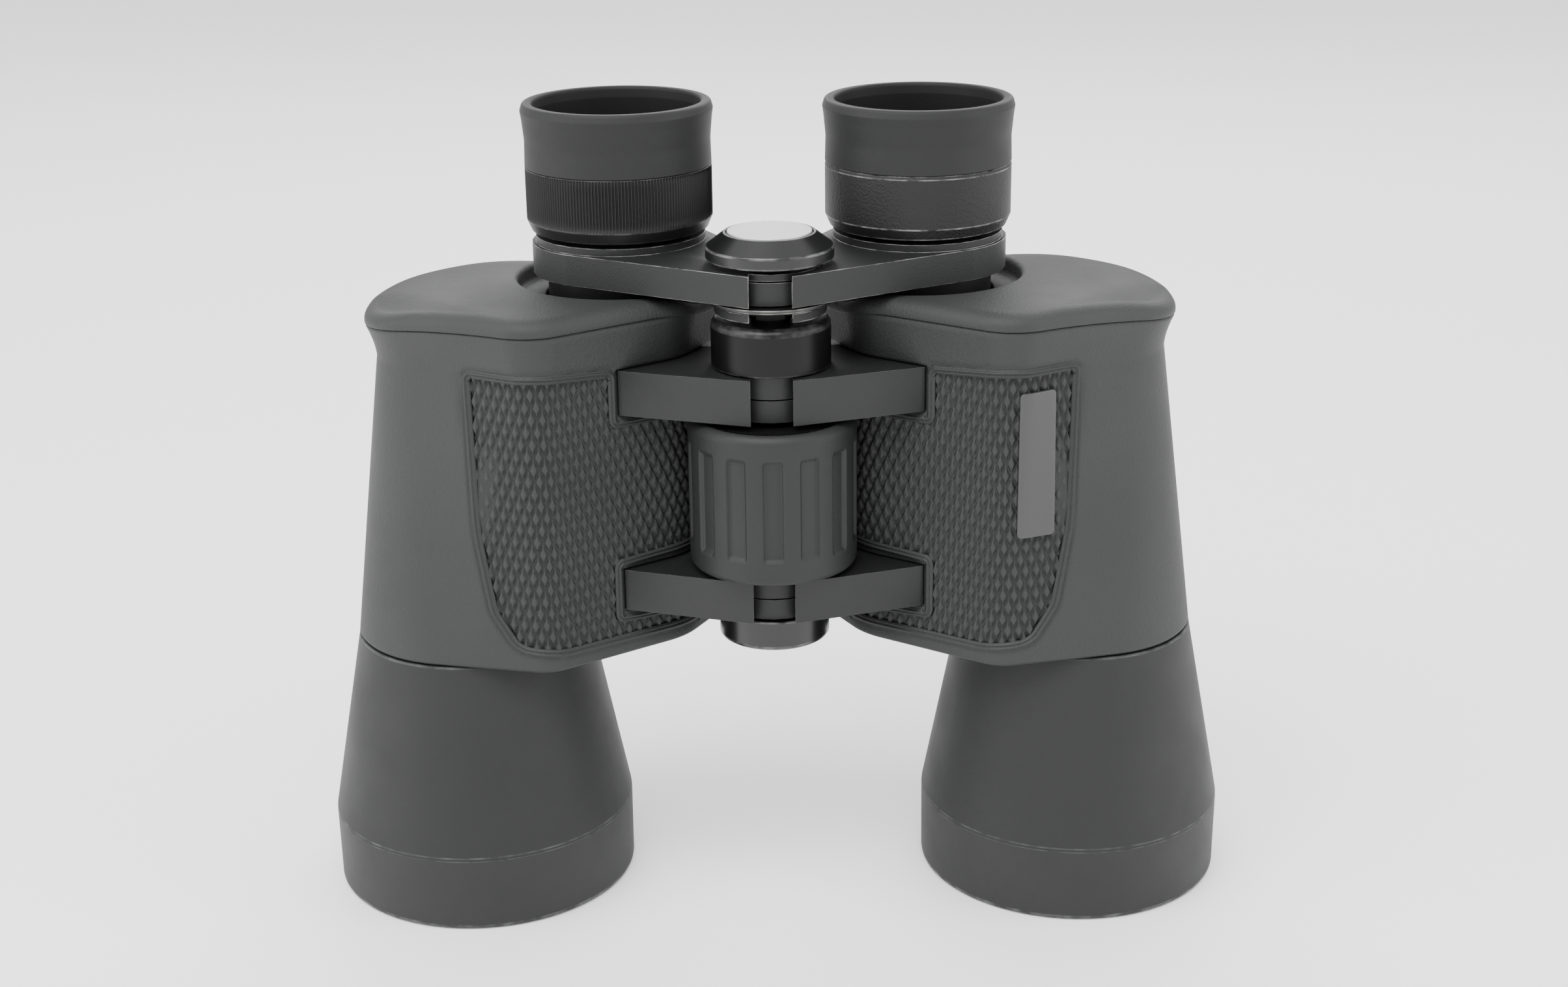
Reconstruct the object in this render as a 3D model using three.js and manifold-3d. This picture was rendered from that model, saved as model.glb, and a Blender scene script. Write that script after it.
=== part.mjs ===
// Porro prism binoculars, standing on their two objective rims.
// Millimetres, +Z up. X runs from the left half to the right half as seen from the hinge side,
// and the hinge side faces -Y. The origin is on the floor, midway between the objective axes.
import * as THREE from "three";
import { ConvexGeometry } from "three/addons/geometries/ConvexGeometry.js";
import { mergeVertices } from "three/addons/utils/BufferGeometryUtils.js";
import Module from "manifold-3d";

const wasm = await Module();
wasm.setup();

// ---------------------------------------------------------------- layout of the axes
const objectiveSpacing = 128.4;
const eyepieceSpacing = 61.3;
const eyepieceBack = 9; // eyepiece axes behind the objective axes
const hingeFront = 15; // hinge axis in front of the objective axes
const gap = 0.3; // air between pieces that touch
const runningGap = 0.5; // air round pieces that turn

// ---------------------------------------------------------------- objective barrels
const objectiveRadius = 25;
const cellWall = 3; // from the lens to the outside of its cell
const rimReach = 4.2; // from the cell to the outside of the rim
const rimHeight = 16;
const rimWall = 2.6;
const barrelHeight = 56.5;
const barrelTopRadius = 24.5;
const barrelWall = 2;
const barrelFlange = 2.5;
const barrelNeckRadius = 19.4;
const barrelNeckWall = 1.8;
const barrelNeckLength = 4.5;
const hoodDepth = 12;
const cellLength = 12.5;
const cellLedge = 1; // inside the lens edge
const cellFloor = 2;
const retainerWidth = 1.3;
const retainerDepth = 2;
const crownEdge = 4;
const crownBulge = 2;
const flintEdge = 3.4;
const flintHollow = 1.2;

// ---------------------------------------------------------------- prism housings
const housingHeight = 68.2; // from the barrel seam to the cover
const flareHeight = 8; // where the sides lean out again under the cover
const flareReach = 2;
const lobeBottomRadius = 24.5; // round the objective axis, at the seam
const lobeTopRadius = 16.7; // the same lobe at the neck, where the flare starts
const ridgeSpread = 47; // front and back ridges, out from the middle
const ridgeDepth = 28.8; // front and back ridges, out from the objective axes
const ridgeRadius = 8;
const innerLobeX = 31.5;
const innerLobeY = 1;
const innerLobeRadius = 17;
const armourWall = 1.6;
const castingWall = 2.2;
const castingFloor = 2.5;
const coverHeight = 5.3;
const coverBand = 0.8; // upright edge of the cover
const coverTopInset = 4.5;
const coverEndDrop = 4; // how far the top falls to its outer end
const coverDropRun = 10; // inside the objective axis, where the fall starts
const coverWall = 2.6;
const coverSkin = 1.2; // over the hollow, under the recess
const coverRecessWidth = 6.3; // of the recess, outside the eyepiece tube
const coverRecessDepth = 3.6;

// ---------------------------------------------------------------- prisms
const shelfHeight = 31.5; // above the barrel seam
const shelfMargin = 2; // between the casting's floor and the prisms
const shelfThickness = 2;
const prismLength = 40;
const prismWidth = 17;
const prismDepth = 17;
const prismApex = 9;
const strapWidth = 7;
const strapThickness = 0.8;
const lightWindow = 8;
const lightTurnAngle = -105; // degrees, from the middle of the light path to its turn

// ---------------------------------------------------------------- hinge
const slotHalfWidth = 4.2;
const hingeBoreRadius = 6.8;
const knuckleWall = 3.5;
const lugReach = 12.5; // front edge of the lugs, out from the hinge axis
const lugSweep = 18.4; // degrees that the lug faces run back from the slot
const lugWidth = 26.2; // from the slot to the outer corner
const lugFlank = 4; // the outer corner's side swings out by this much
const lugFlankBack = 8; // where that side ends, behind the hinge axis
const lugTail = 8; // the back corner stands in from the outer corner
const lugTailBack = 15; // and this far behind the hinge axis
const lowerLugRise = 9.7; // from the barrel seam
const lowerLugHeight = 8.7;
const upperLugDrop = 7.6; // from the top of the housing
const upperLugHeight = 9.2;
const wheelRadius = 17.1;
const wheelClearance = 0.9; // between the wheel and each lug
const wheelGripWall = 2.2;
const wheelLowEdge = 0.8;
const wheelHighEdge = 1.2;
const wheelCoreInset = 0.4;
const pocketCount = 14;
const pocketWidth = 4.5;
const pocketMargin = 4.85; // from a pocket to the wheel's end
const pocketDepth = 0.8;
const screwRadius = 4;
const screwReach = 22; // below the upper lug, inside the wheel
const screwInCap = 2.3;
const collarRadius = 12;
const collarHeight = 9.6;
const collarChamfer = 0.7;
const nutRadius = 11.2;
const nutHeight = 1.9;
const washerRadius = 12.5;
const washerHeight = 0.9;
const nutSlotFloor = 1.5; // the nut's slot stops in front of the screw
const pinLift = 1; // between the tripod cap's floor and the pin
const tripodInsertRadius = 4.6;
const tripodInsertLength = 8.5;
const tripodBoreRadius = 3.2;
const tripodCapRadius = 11.35;
const tripodCapHeight = 6.3;
const tripodCapFloor = 3.4;
const tripodCapEdge = 0.8;
const tripodCapRoom = 0.4; // round the pin, inside the cap
const tripodStudRadius = 2.8;
const tripodStudLength = 6.6;

// ---------------------------------------------------------------- bridge and eyepieces
const armClearance = 1.2; // over the covers
const armHeight = 6.3;
const armKnuckleHeight = 1.4; // the left arm's knuckle, on top of the right arm's
const armReach = 12;
const armEndWall = 4.4; // round the eyepiece stem
const armBossWall = 3.6;
const armBossHeight = 1.5;
const fieldLensRadius = 12;
const fieldLensEdge = 3.5;
const fieldLensBulge = 1.2;
const fieldLensLift = 3; // over the tube's lower end
const tubeWall = 3;
const tubeDrop = 18; // down from the arm into the housing
const stemWall = 1.6;
const stemRise = 3.2; // into the eyepiece ring
const ringReach = 5.2; // from the stem to the outside of the ring
const ringHeight = 12.8;
const ringWall = 2.7;
const ringLift = 1; // over the arm's boss, room for the dioptre travel
const ringChamfer = 1;
const ringSkirt = 2.3;
const eyeLensRadius = 12;
const eyeLensEdge = 3.6;
const eyeLensBulge = 0.6;
const eyeWindow = 10;
const eyeCellLift = 0.4; // over the ring's lower end
const eyeCellStep = 4.1; // from there to the lens seat
const eyeCellTop = 1.9; // wall over the lens, and from it to the ring's upper end
const cupHeight = 12.8;
const cupFlare = 0.5; // the cup's lip stands outside its foot
const cupWaist = 0.2;
const cupWaistHeight = 5.1; // over the cup's foot
const cupWall = 2.1;
const cupFloor = 1.8;
const cupThroat = 0.4; // outside the eye window
const cupSeat = 0.1; // air under and beside the cup's spigot
const cupLip = 1.1;
const capLift = 1.1; // over the arm
const capRadius = 12.7;
const capBand = 2.4;
const capHeight = 5.2;
const capTopRadius = 9;
const labelRadius = 8.4;
const labelThickness = 0.6;
const labelSink = 0.4;

// ---------------------------------------------------------------- blank plate on the right grip
const plateHeight = 30;
const plateWidth = 8.2;
const plateThickness = 0.5;
const plateRise = 42.7; // from the barrel seam to the plate's middle
const plateOffset = 1.3; // from the front ridge, along the grip

// ---------------------------------------------------------------- positions that follow
const objective = { x: objectiveSpacing / 2, y: 0 };
const eyepiece = { x: eyepieceSpacing / 2, y: eyepieceBack };
const hinge = { x: 0, y: -hingeFront };
const cellRadius = objectiveRadius + cellWall;
const rimRadius = cellRadius + rimReach;
const tubeBore = fieldLensRadius + gap;
const tubeRadius = tubeBore + tubeWall;
const stemRadius = tubeBore + stemWall;
const ringRadius = stemRadius + ringReach;
const knuckleRadius = hingeBoreRadius + knuckleWall;
const housingBottom = barrelHeight + gap;
const housingTop = housingBottom + housingHeight;
const neckLevel = housingTop - flareHeight;
const coverBottom = housingTop + gap;
const coverTop = coverBottom + coverHeight;
const recessFloor = coverTop - coverRecessDepth;
const shelfBottom = housingBottom + shelfHeight;
const shelfTop = shelfBottom + shelfThickness;
const lowerLugBottom = housingBottom + lowerLugRise;
const lowerLugTop = lowerLugBottom + lowerLugHeight;
const upperLugTop = housingTop - upperLugDrop;
const upperLugBottom = upperLugTop - upperLugHeight;
const wheelBottom = lowerLugTop + wheelClearance;
const wheelTop = upperLugBottom - wheelClearance;
const wheelLength = wheelTop - wheelBottom;
const armBottom = coverTop + armClearance;
const armTop = armBottom + armHeight;
const bossTop = armTop + armBossHeight;
const ringBottom = bossTop + ringLift;
const ringTop = ringBottom + ringHeight;
const cupBottom = ringTop + gap;
const tubeBottom = armBottom - tubeDrop;
const washerBottom = armBottom - gap - washerHeight;
const nutBottom = washerBottom - gap - nutHeight;
const capBottom = armTop + capLift;
const screwTop = capBottom + screwInCap;
const screwBottom = upperLugBottom - screwReach;
const boreRadius = screwRadius + gap;
const tripodCapBottom = lowerLugBottom - gap - tripodCapHeight;
const pinBottom = tripodCapBottom + tripodCapFloor + pinLift;
const cavityInset = armourWall + gap + castingWall;
const cellBottom = hoodDepth + gap;
const cellTop = cellBottom + cellLength;
const plateCentre = housingBottom + plateRise;

// ---------------------------------------------------------------- sides of the round pieces
const fineSides = 32;
const ringSides = 24;
const postSides = 20; // of each post that the housing outline follows
const smallSides = 16;

// ---------------------------------------------------------------- finishes
function finish(colour, roughness, metalness) {
  return new THREE.MeshStandardMaterial({ color: colour, roughness, metalness });
}
const armourRubber = finish(0x33363a, 0.75, 0);
const barrelPaint = finish(0x383b3b, 0.6, 0);
const lugPaint = finish(0x2c2e2e, 0.45, 0.1);
const glossBlack = finish(0x121313, 0.2, 0.1);
const cupRubber = finish(0x2b2d2d, 0.7, 0);
const innerBlack = finish(0x101010, 0.85, 0);
const glass = finish(0xb9c6cf, 0.05, 0);
const steel = finish(0x9a9c9e, 0.35, 1);
const brass = finish(0xb59a54, 0.35, 1);
const silverLabel = finish(0xc9cbce, 0.35, 0.6);

// ---------------------------------------------------------------- solids
// A closed geometry becomes a solid: shared corners merged, slivers at the poles dropped.
function solid(geometry) {
  const bare = geometry.index ? geometry.toNonIndexed() : geometry;
  bare.deleteAttribute("normal");
  bare.deleteAttribute("uv");
  const merged = mergeVertices(bare, 1e-4);
  const index = merged.index.array;
  const triangles = [];
  for (let i = 0; i < index.length; i += 3) {
    const [a, b, c] = [index[i], index[i + 1], index[i + 2]];
    if (a !== b && b !== c && c !== a) triangles.push(a, b, c);
  }
  const mesh = new wasm.Mesh({
    numProp: 3,
    vertProperties: new Float32Array(merged.attributes.position.array),
    triVerts: new Uint32Array(triangles),
  });
  return new wasm.Manifold(mesh);
}

function meshOf(name, body, material) {
  const data = body.getMesh();
  const geometry = new THREE.BufferGeometry();
  geometry.setAttribute("position", new THREE.BufferAttribute(new Float32Array(data.vertProperties), 3));
  geometry.setIndex(new THREE.BufferAttribute(new Uint32Array(data.triVerts), 1));
  geometry.computeVertexNormals();
  const mesh = new THREE.Mesh(geometry, material);
  mesh.name = name;
  return mesh;
}

// A turned piece round the vertical axis at `at`, from [radius, height] points that go anticlockwise.
function turned(points, segments, at = { x: 0, y: 0 }) {
  const profile = points.map(([r, z]) => new THREE.Vector2(r, z));
  const geometry = new THREE.LatheGeometry(profile, segments);
  geometry.rotateX(Math.PI / 2);
  geometry.translate(at.x, at.y, 0);
  return solid(geometry);
}

function ring(points, segments, at) {
  return turned([...points, points[0]], segments, at);
}

function disc(radius, low, high, segments, at) {
  return turned([[0, low], [radius, low], [radius, high], [0, high]], segments, at);
}

function tube(inner, outer, low, high, segments, at) {
  return ring([[inner, low], [outer, low], [outer, high], [inner, high]], segments, at);
}

function plate(points, low, high) {
  const shape = new THREE.Shape(points.map((p) => new THREE.Vector2(p.x, p.y)));
  const geometry = new THREE.ExtrudeGeometry(shape, { depth: high - low, bevelEnabled: false });
  geometry.translate(0, 0, low);
  return solid(geometry);
}

function hull(points) {
  return solid(new ConvexGeometry(points));
}

function circlePoints(centre, radius, z, count) {
  const points = [];
  for (let i = 0; i < count; i++) {
    const turn = (2 * Math.PI * i) / count;
    const x = centre.x + radius * Math.cos(turn);
    points.push(new THREE.Vector3(x, centre.y + radius * Math.sin(turn), z));
  }
  return points;
}

function sideOf(side, point) {
  return { x: side * point.x, y: point.y };
}

function biconvex(radius, low, edge, bulge, at) {
  const points = [[0, low - bulge]];
  for (let i = 1; i <= 3; i++) points.push([(radius * i) / 3, low - bulge * (1 - (i / 3) ** 2)]);
  for (let i = 3; i >= 0; i--) points.push([(radius * i) / 3, low + edge + bulge * (1 - (i / 3) ** 2)]);
  return turned(points, smallSides, at);
}

// ---------------------------------------------------------------- housing outline
function lobeRadius(z) {
  const share = THREE.MathUtils.clamp((z - housingBottom) / (neckLevel - housingBottom), 0, 1);
  return THREE.MathUtils.lerp(lobeBottomRadius, lobeTopRadius, share);
}

function flare(z) {
  return flareReach * THREE.MathUtils.clamp((z - neckLevel) / flareHeight, 0, 1);
}

// The plan is what a band would follow round five posts: the objective lobe, a ridge in front and
// one behind, the inner lobe beside the hinge, and the wall round the eyepiece tube.
function outline(side, z, inset) {
  const ridgeY = ridgeDepth - ridgeRadius;
  const guideRadius = tubeRadius + runningGap + cavityInset;
  const posts = [
    [objective, lobeRadius(z)],
    [{ x: ridgeSpread, y: -ridgeY }, ridgeRadius],
    [{ x: ridgeSpread, y: ridgeY }, ridgeRadius],
    [{ x: innerLobeX, y: innerLobeY }, innerLobeRadius],
    [eyepiece, guideRadius],
  ];
  const grow = flare(z) - inset;
  const around = ([centre, radius]) => circlePoints(sideOf(side, centre), radius + grow, z, postSides);
  return posts.flatMap(around);
}

function housingSolid(side, inset, low, high) {
  const neck = outline(side, neckLevel, inset);
  const body = hull([...outline(side, low, inset), ...neck]);
  return body.add(hull([...neck, ...outline(side, high, inset)]));
}

function housingSlab(side, inset, low, high) {
  return hull([...outline(side, low, inset), ...outline(side, high, inset)]);
}

// ---------------------------------------------------------------- lugs and arms on the hinge
// A plate that ends in a knuckle on the hinge axis. `own` is the height range of its own knuckle
// and `other` is that of the knuckle it makes room for.
function knuckled(side, corners, low, high, own, other, bore) {
  const points = corners.map((corner) => sideOf(side, corner));
  const room = disc(knuckleRadius + runningGap, other[0] - gap, other[1] + gap, ringSides, hinge);
  const knuckle = disc(knuckleRadius, own[0], own[1], ringSides, hinge);
  const hole = disc(bore, low - 1, high + 1, smallSides, hinge);
  return plate(points, low, high).subtract(room).add(knuckle).subtract(hole);
}

function split(low, high, at) {
  return { lower: [low, at - gap / 2], upper: [at + gap / 2, high] };
}

function knuckleRanges(side, low, high, at) {
  const ranges = split(low, high, at);
  return side < 0 ? [ranges.upper, ranges.lower] : [ranges.lower, ranges.upper];
}

function lugCorners(grow) {
  const front = hinge.y - lugReach - grow;
  const sweep = Math.tan(THREE.MathUtils.degToRad(lugSweep));
  const outer = slotHalfWidth + lugWidth + grow;
  return [
    { x: slotHalfWidth, y: front },
    { x: outer, y: front + lugWidth * sweep },
    { x: outer + lugFlank, y: hinge.y + lugFlankBack },
    { x: outer - lugTail, y: hinge.y + lugTailBack + grow },
    { x: slotHalfWidth, y: hinge.y + lugReach + grow },
  ];
}

function lugs(side) {
  const levels = [[lowerLugBottom, lowerLugTop], [upperLugBottom, upperLugTop]];
  const bodies = levels.map(([low, high]) => {
    const [own, other] = knuckleRanges(side, low, high, (low + high) / 2);
    return knuckled(side, lugCorners(0), low, high, own, other, hingeBoreRadius);
  });
  return bodies[0].add(bodies[1]);
}

function lugRoom(side) {
  const points = lugCorners(gap).map((corner) => sideOf(side, corner));
  const lower = plate(points, lowerLugBottom - gap, lowerLugTop + gap);
  return lower.add(plate(points, upperLugBottom - gap, upperLugTop + gap));
}

// ---------------------------------------------------------------- one half: casting and covers
function housingCasting(side) {
  const inset = armourWall + gap;
  const low = housingBottom + gap;
  const high = housingTop - gap;
  const floorTop = low + castingFloor;
  const at = sideOf(side, objective);
  const neckHole = disc(barrelNeckRadius + gap, low - 1, floorTop + 1, fineSides, at);
  const wheelRoom = disc(wheelRadius + runningGap, lowerLugTop, upperLugBottom, fineSides, hinge);
  return housingSolid(side, inset, low, high)
    .subtract(wheelRoom)
    .add(lugs(side))
    .subtract(housingSolid(side, cavityInset, floorTop, high + 1))
    .subtract(neckHole);
}

function armour(side) {
  const wheelRoom = disc(wheelRadius + runningGap, lowerLugTop, upperLugBottom, fineSides, hinge);
  return housingSolid(side, 0, housingBottom, housingTop)
    .subtract(housingSolid(side, armourWall, housingBottom - 1, housingTop + 1))
    .subtract(lugRoom(side))
    .subtract(wheelRoom);
}

// The cover stands on an upright band and rounds in to a top that drops towards its outer end.
function prismCover(side) {
  const foot = outline(side, coverBottom, 0);
  const band = outline(side, coverBottom + coverBand, 0);
  const top = outline(side, coverTop, coverTopInset);
  const dropStart = objective.x - coverDropRun;
  const dropSpan = coverDropRun + lobeTopRadius;
  for (const point of top) {
    const along = Math.max(0, (Math.abs(point.x) - dropStart) / dropSpan);
    point.z -= coverEndDrop * along ** 4;
  }
  const at = sideOf(side, eyepiece);
  const ceiling = recessFloor - coverSkin;
  return hull([...foot, ...band, ...top])
    .subtract(disc(tubeRadius + coverRecessWidth, recessFloor, coverTop + 1, fineSides, at))
    .subtract(housingSlab(side, coverWall, coverBottom - 1, ceiling))
    .subtract(disc(tubeRadius + runningGap, coverBottom - 1, coverTop + 1, ringSides, at));
}

// The rim is a ring of its own, round the front of the lens cell.
function objectiveRim(side) {
  const hood = rimRadius - rimWall;
  const bore = cellRadius + gap;
  return ring([
    [hood, 0], [rimRadius, 0], [rimRadius, rimHeight],
    [bore, rimHeight], [bore, hoodDepth], [hood, hoodDepth],
  ], fineSides, sideOf(side, objective));
}

function objectiveBarrel(side) {
  const coneTop = barrelHeight - barrelFlange;
  const bore = cellRadius + gap;
  const low = rimHeight + gap;
  const neckTop = barrelHeight + gap + barrelNeckLength;
  const neckBore = barrelNeckRadius - barrelNeckWall;
  return ring([
    [bore, low], [rimRadius, low], [barrelTopRadius, barrelHeight], [barrelNeckRadius, barrelHeight],
    [barrelNeckRadius, neckTop], [neckBore, neckTop], [neckBore, coneTop],
    [barrelTopRadius - barrelWall, coneTop], [bore, cellTop + gap],
  ], fineSides, sideOf(side, objective));
}

function objectiveGroup(side, name) {
  const at = sideOf(side, objective);
  const lensRadius = objectiveRadius + gap;
  const seat = cellBottom + retainerDepth + gap;
  const ledge = objectiveRadius - cellLedge;
  const cell = ring([
    [lensRadius + gap, cellBottom], [cellRadius, cellBottom], [cellRadius, cellTop],
    [ledge, cellTop], [ledge, cellTop - cellFloor], [lensRadius + gap, cellTop - cellFloor],
  ], ringSides, at);
  const retainer = tube(lensRadius - retainerWidth, lensRadius, cellBottom, seat - gap, ringSides, at);
  const crown = turned([
    [0, seat - crownBulge], [lensRadius * 0.5, seat - crownBulge * 0.75],
    [lensRadius - retainerWidth - gap, seat], [lensRadius, seat], [lensRadius, seat + crownEdge],
    [lensRadius * 0.5, seat + crownEdge - flintHollow / 2], [0, seat + crownEdge - flintHollow / 2],
  ], ringSides, at);
  const flintSeat = seat + crownEdge + gap;
  const flint = turned([
    [0, flintSeat], [lensRadius, flintSeat], [lensRadius, flintSeat + flintEdge],
    [lensRadius * 0.5, flintSeat + flintEdge - flintHollow], [0, flintSeat + flintEdge - flintHollow],
  ], ringSides, at);
  return [
    meshOf(name + "_objective_cell", cell, innerBlack),
    meshOf(name + "_lens_retainer", retainer, innerBlack),
    meshOf(name + "_objective_lens", crown, glass),
    meshOf(name + "_objective_rear_lens", flint, glass),
  ];
}

// ---------------------------------------------------------------- prisms on their shelf
// The light goes up to the upper prism over the objective axis, down to the lower prism at the turn,
// and up again along the eyepiece axis. The two runs are square to each other at the turn.
function lightTurn() {
  const middle = { x: (objective.x + eyepiece.x) / 2, y: (objective.y + eyepiece.y) / 2 };
  const reach = Math.hypot(objective.x - eyepiece.x, objective.y - eyepiece.y) / 2;
  const angle = THREE.MathUtils.degToRad(lightTurnAngle);
  return { x: middle.x + reach * Math.cos(angle), y: middle.y + reach * Math.sin(angle) };
}

// Side view of a prism with its long face down, or of the strap that holds it, `grow` outside it.
function prismProfile(grow) {
  const half = prismLength / 2;
  const top = prismDepth + grow;
  return [[-half - grow, 0], [half + grow, 0], [prismApex / 2 + grow, top], [-prismApex / 2 - grow, top]];
}

function prismBlock(profile, width, from, to, faceZ, up) {
  const shape = new THREE.Shape(profile.map(([x, y]) => new THREE.Vector2(x, y)));
  const geometry = new THREE.ExtrudeGeometry(shape, { depth: width, bevelEnabled: false });
  geometry.translate(0, 0, -width / 2);
  geometry.rotateX(up ? Math.PI / 2 : -Math.PI / 2);
  geometry.rotateZ(Math.atan2(to.y - from.y, to.x - from.x));
  geometry.translate((from.x + to.x) / 2, (from.y + to.y) / 2, faceZ);
  return solid(geometry);
}

function prismGroup(side, name) {
  const turn = sideOf(side, lightTurn());
  const front = sideOf(side, objective);
  const back = sideOf(side, eyepiece);
  const low = housingBottom + castingFloor + shelfMargin;
  const inset = cavityInset + gap;
  const room = housingSlab(side, inset, low, neckLevel);
  const shelf = housingSlab(side, inset, shelfBottom, shelfTop)
    .subtract(disc(lightWindow, shelfBottom - 1, shelfTop + 1, smallSides, turn))
    .subtract(disc(lightWindow, shelfBottom - 1, shelfTop + 1, smallSides, front))
    .subtract(disc(lightWindow, shelfBottom - 1, shelfTop + 1, smallSides, back));
  const upper = prismBlock(prismProfile(0), prismWidth, front, turn, shelfTop + gap, true);
  const lower = prismBlock(prismProfile(0), prismWidth, turn, back, shelfBottom - gap, false);
  const strapOutside = prismProfile(gap + strapThickness);
  const strap = prismBlock(strapOutside, strapWidth, front, turn, shelfTop + gap, true)
    .subtract(prismBlock(prismProfile(gap), strapWidth + 2, front, turn, shelfTop + gap, true));
  return [
    meshOf(name + "_prism_shelf", shelf, steel),
    meshOf(name + "_upper_prism", upper.intersect(room), glass),
    meshOf(name + "_lower_prism", lower.intersect(room), glass),
    meshOf(name + "_prism_strap", strap.intersect(room), steel),
  ];
}

// ---------------------------------------------------------------- bridge arms and eyepieces
// The arm's plan is the hull of its round end and two points beside the slot.
function armCorners() {
  const outlinePoints = circlePoints(eyepiece, stemRadius + armEndWall, 0, fineSides);
  const hub = [
    { x: slotHalfWidth, y: hinge.y - armReach },
    { x: slotHalfWidth, y: hinge.y + armReach },
  ];
  return convexOutline([...hub, ...outlinePoints]);
}

// Andrew's monotone chain: the convex outline of points in the plan.
function convexOutline(points) {
  const sorted = [...points].sort((a, b) => a.x - b.x || a.y - b.y);
  const chain = (list) => {
    const kept = [];
    for (const p of list) {
      while (kept.length > 1) {
        const [a, b] = kept.slice(-2);
        if ((b.x - a.x) * (p.y - a.y) - (b.y - a.y) * (p.x - a.x) > 1e-6) break;
        kept.pop();
      }
      kept.push(p);
    }
    kept.pop();
    return kept;
  };
  return [...chain(sorted), ...chain([...sorted].reverse())];
}

function bridgeArm(side) {
  const at = sideOf(side, eyepiece);
  const [own, other] = knuckleRanges(side, armBottom, armTop, armTop - armKnuckleHeight - gap / 2);
  return knuckled(side, armCorners(), armBottom, armTop, own, other, boreRadius)
    .add(disc(stemRadius + armBossWall, armTop - 1, bossTop, fineSides, at))
    .subtract(disc(stemRadius + gap, armBottom - 1, bossTop + 1, ringSides, at));
}

function eyepieceTube(side) {
  const shoulder = armBottom - gap;
  const stemTop = ringBottom + stemRise;
  return ring([
    [tubeBore, tubeBottom], [tubeRadius, tubeBottom], [tubeRadius, shoulder], [stemRadius, shoulder],
    [stemRadius, stemTop], [tubeBore, stemTop],
  ], ringSides, sideOf(side, eyepiece));
}

function eyepieceCell(side) {
  const outer = ringRadius - ringWall - gap;
  const low = ringBottom + eyeCellLift;
  const top = ringTop - eyeCellTop;
  const under = top - eyeCellTop;
  const step = low + eyeCellStep;
  const seat = eyeLensRadius + gap;
  return ring([
    [stemRadius + gap, low], [outer, low], [outer, top], [eyeWindow, top],
    [eyeWindow, under], [seat, under], [seat, step], [stemRadius + gap, step],
  ], ringSides, sideOf(side, eyepiece));
}

function eyepieceRing(side) {
  const inner = ringRadius - ringWall;
  return ring([
    [inner, ringBottom], [ringRadius - ringChamfer, ringBottom], [ringRadius, ringBottom + ringSkirt],
    [ringRadius, ringTop], [inner, ringTop],
  ], ringSides, sideOf(side, eyepiece));
}

function eyecup(side) {
  const top = cupBottom + cupHeight;
  const waist = cupBottom + cupWaistHeight;
  const spigot = ringRadius - ringWall - gap - cupSeat;
  const floorTop = cupBottom - cupSeat;
  const throat = eyeWindow + cupThroat;
  const lip = ringRadius + cupFlare;
  return ring([
    [throat, floorTop - cupFloor], [spigot, floorTop - cupFloor], [spigot, cupBottom],
    [ringRadius, cupBottom], [ringRadius - cupWaist, waist],
    [lip, top - cupLip], [lip - cupLip * 0.4, top - cupLip * 0.2],
    [lip - cupLip, top], [lip - cupWall, top - cupLip * 0.5],
    [ringRadius - cupWall, waist], [ringRadius - cupWall, floorTop], [throat, floorTop],
  ], ringSides, sideOf(side, eyepiece));
}

function eyeLens(side) {
  const top = ringTop - 2 * eyeCellTop - gap - eyeLensBulge;
  return biconvex(eyeLensRadius, top - eyeLensEdge, eyeLensEdge, eyeLensBulge, sideOf(side, eyepiece));
}

function fieldLens(side) {
  const low = tubeBottom + fieldLensLift;
  return biconvex(fieldLensRadius, low, fieldLensEdge, fieldLensBulge, sideOf(side, eyepiece));
}

// ---------------------------------------------------------------- hinge, focus wheel and caps
function lowerHingePin() {
  const radius = hingeBoreRadius - gap;
  const room = pinBottom + gap + tripodInsertLength + gap;
  const body = disc(radius, pinBottom, lowerLugTop, smallSides, hinge);
  return body.subtract(disc(tripodInsertRadius + gap, pinBottom - 1, room, smallSides, hinge));
}

function tripodInsert() {
  const low = pinBottom + gap;
  return tube(tripodBoreRadius, tripodInsertRadius, low, low + tripodInsertLength, smallSides, hinge);
}

function tripodCap() {
  const low = tripodCapBottom;
  const floor = low + tripodCapFloor;
  const high = low + tripodCapHeight;
  const well = hingeBoreRadius + tripodCapRoom;
  return turned([
    [0, low], [tripodCapRadius - tripodCapEdge, low], [tripodCapRadius, low + tripodCapEdge],
    [tripodCapRadius, high], [well, high], [well, floor], [tripodStudRadius, floor],
    [tripodStudRadius, floor + tripodStudLength], [0, floor + tripodStudLength],
  ], ringSides, hinge);
}

function focusWheelCore() {
  const outer = wheelRadius - wheelGripWall - gap;
  return tube(boreRadius, outer, wheelBottom + wheelCoreInset, wheelTop - wheelCoreInset, ringSides, hinge);
}

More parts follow.
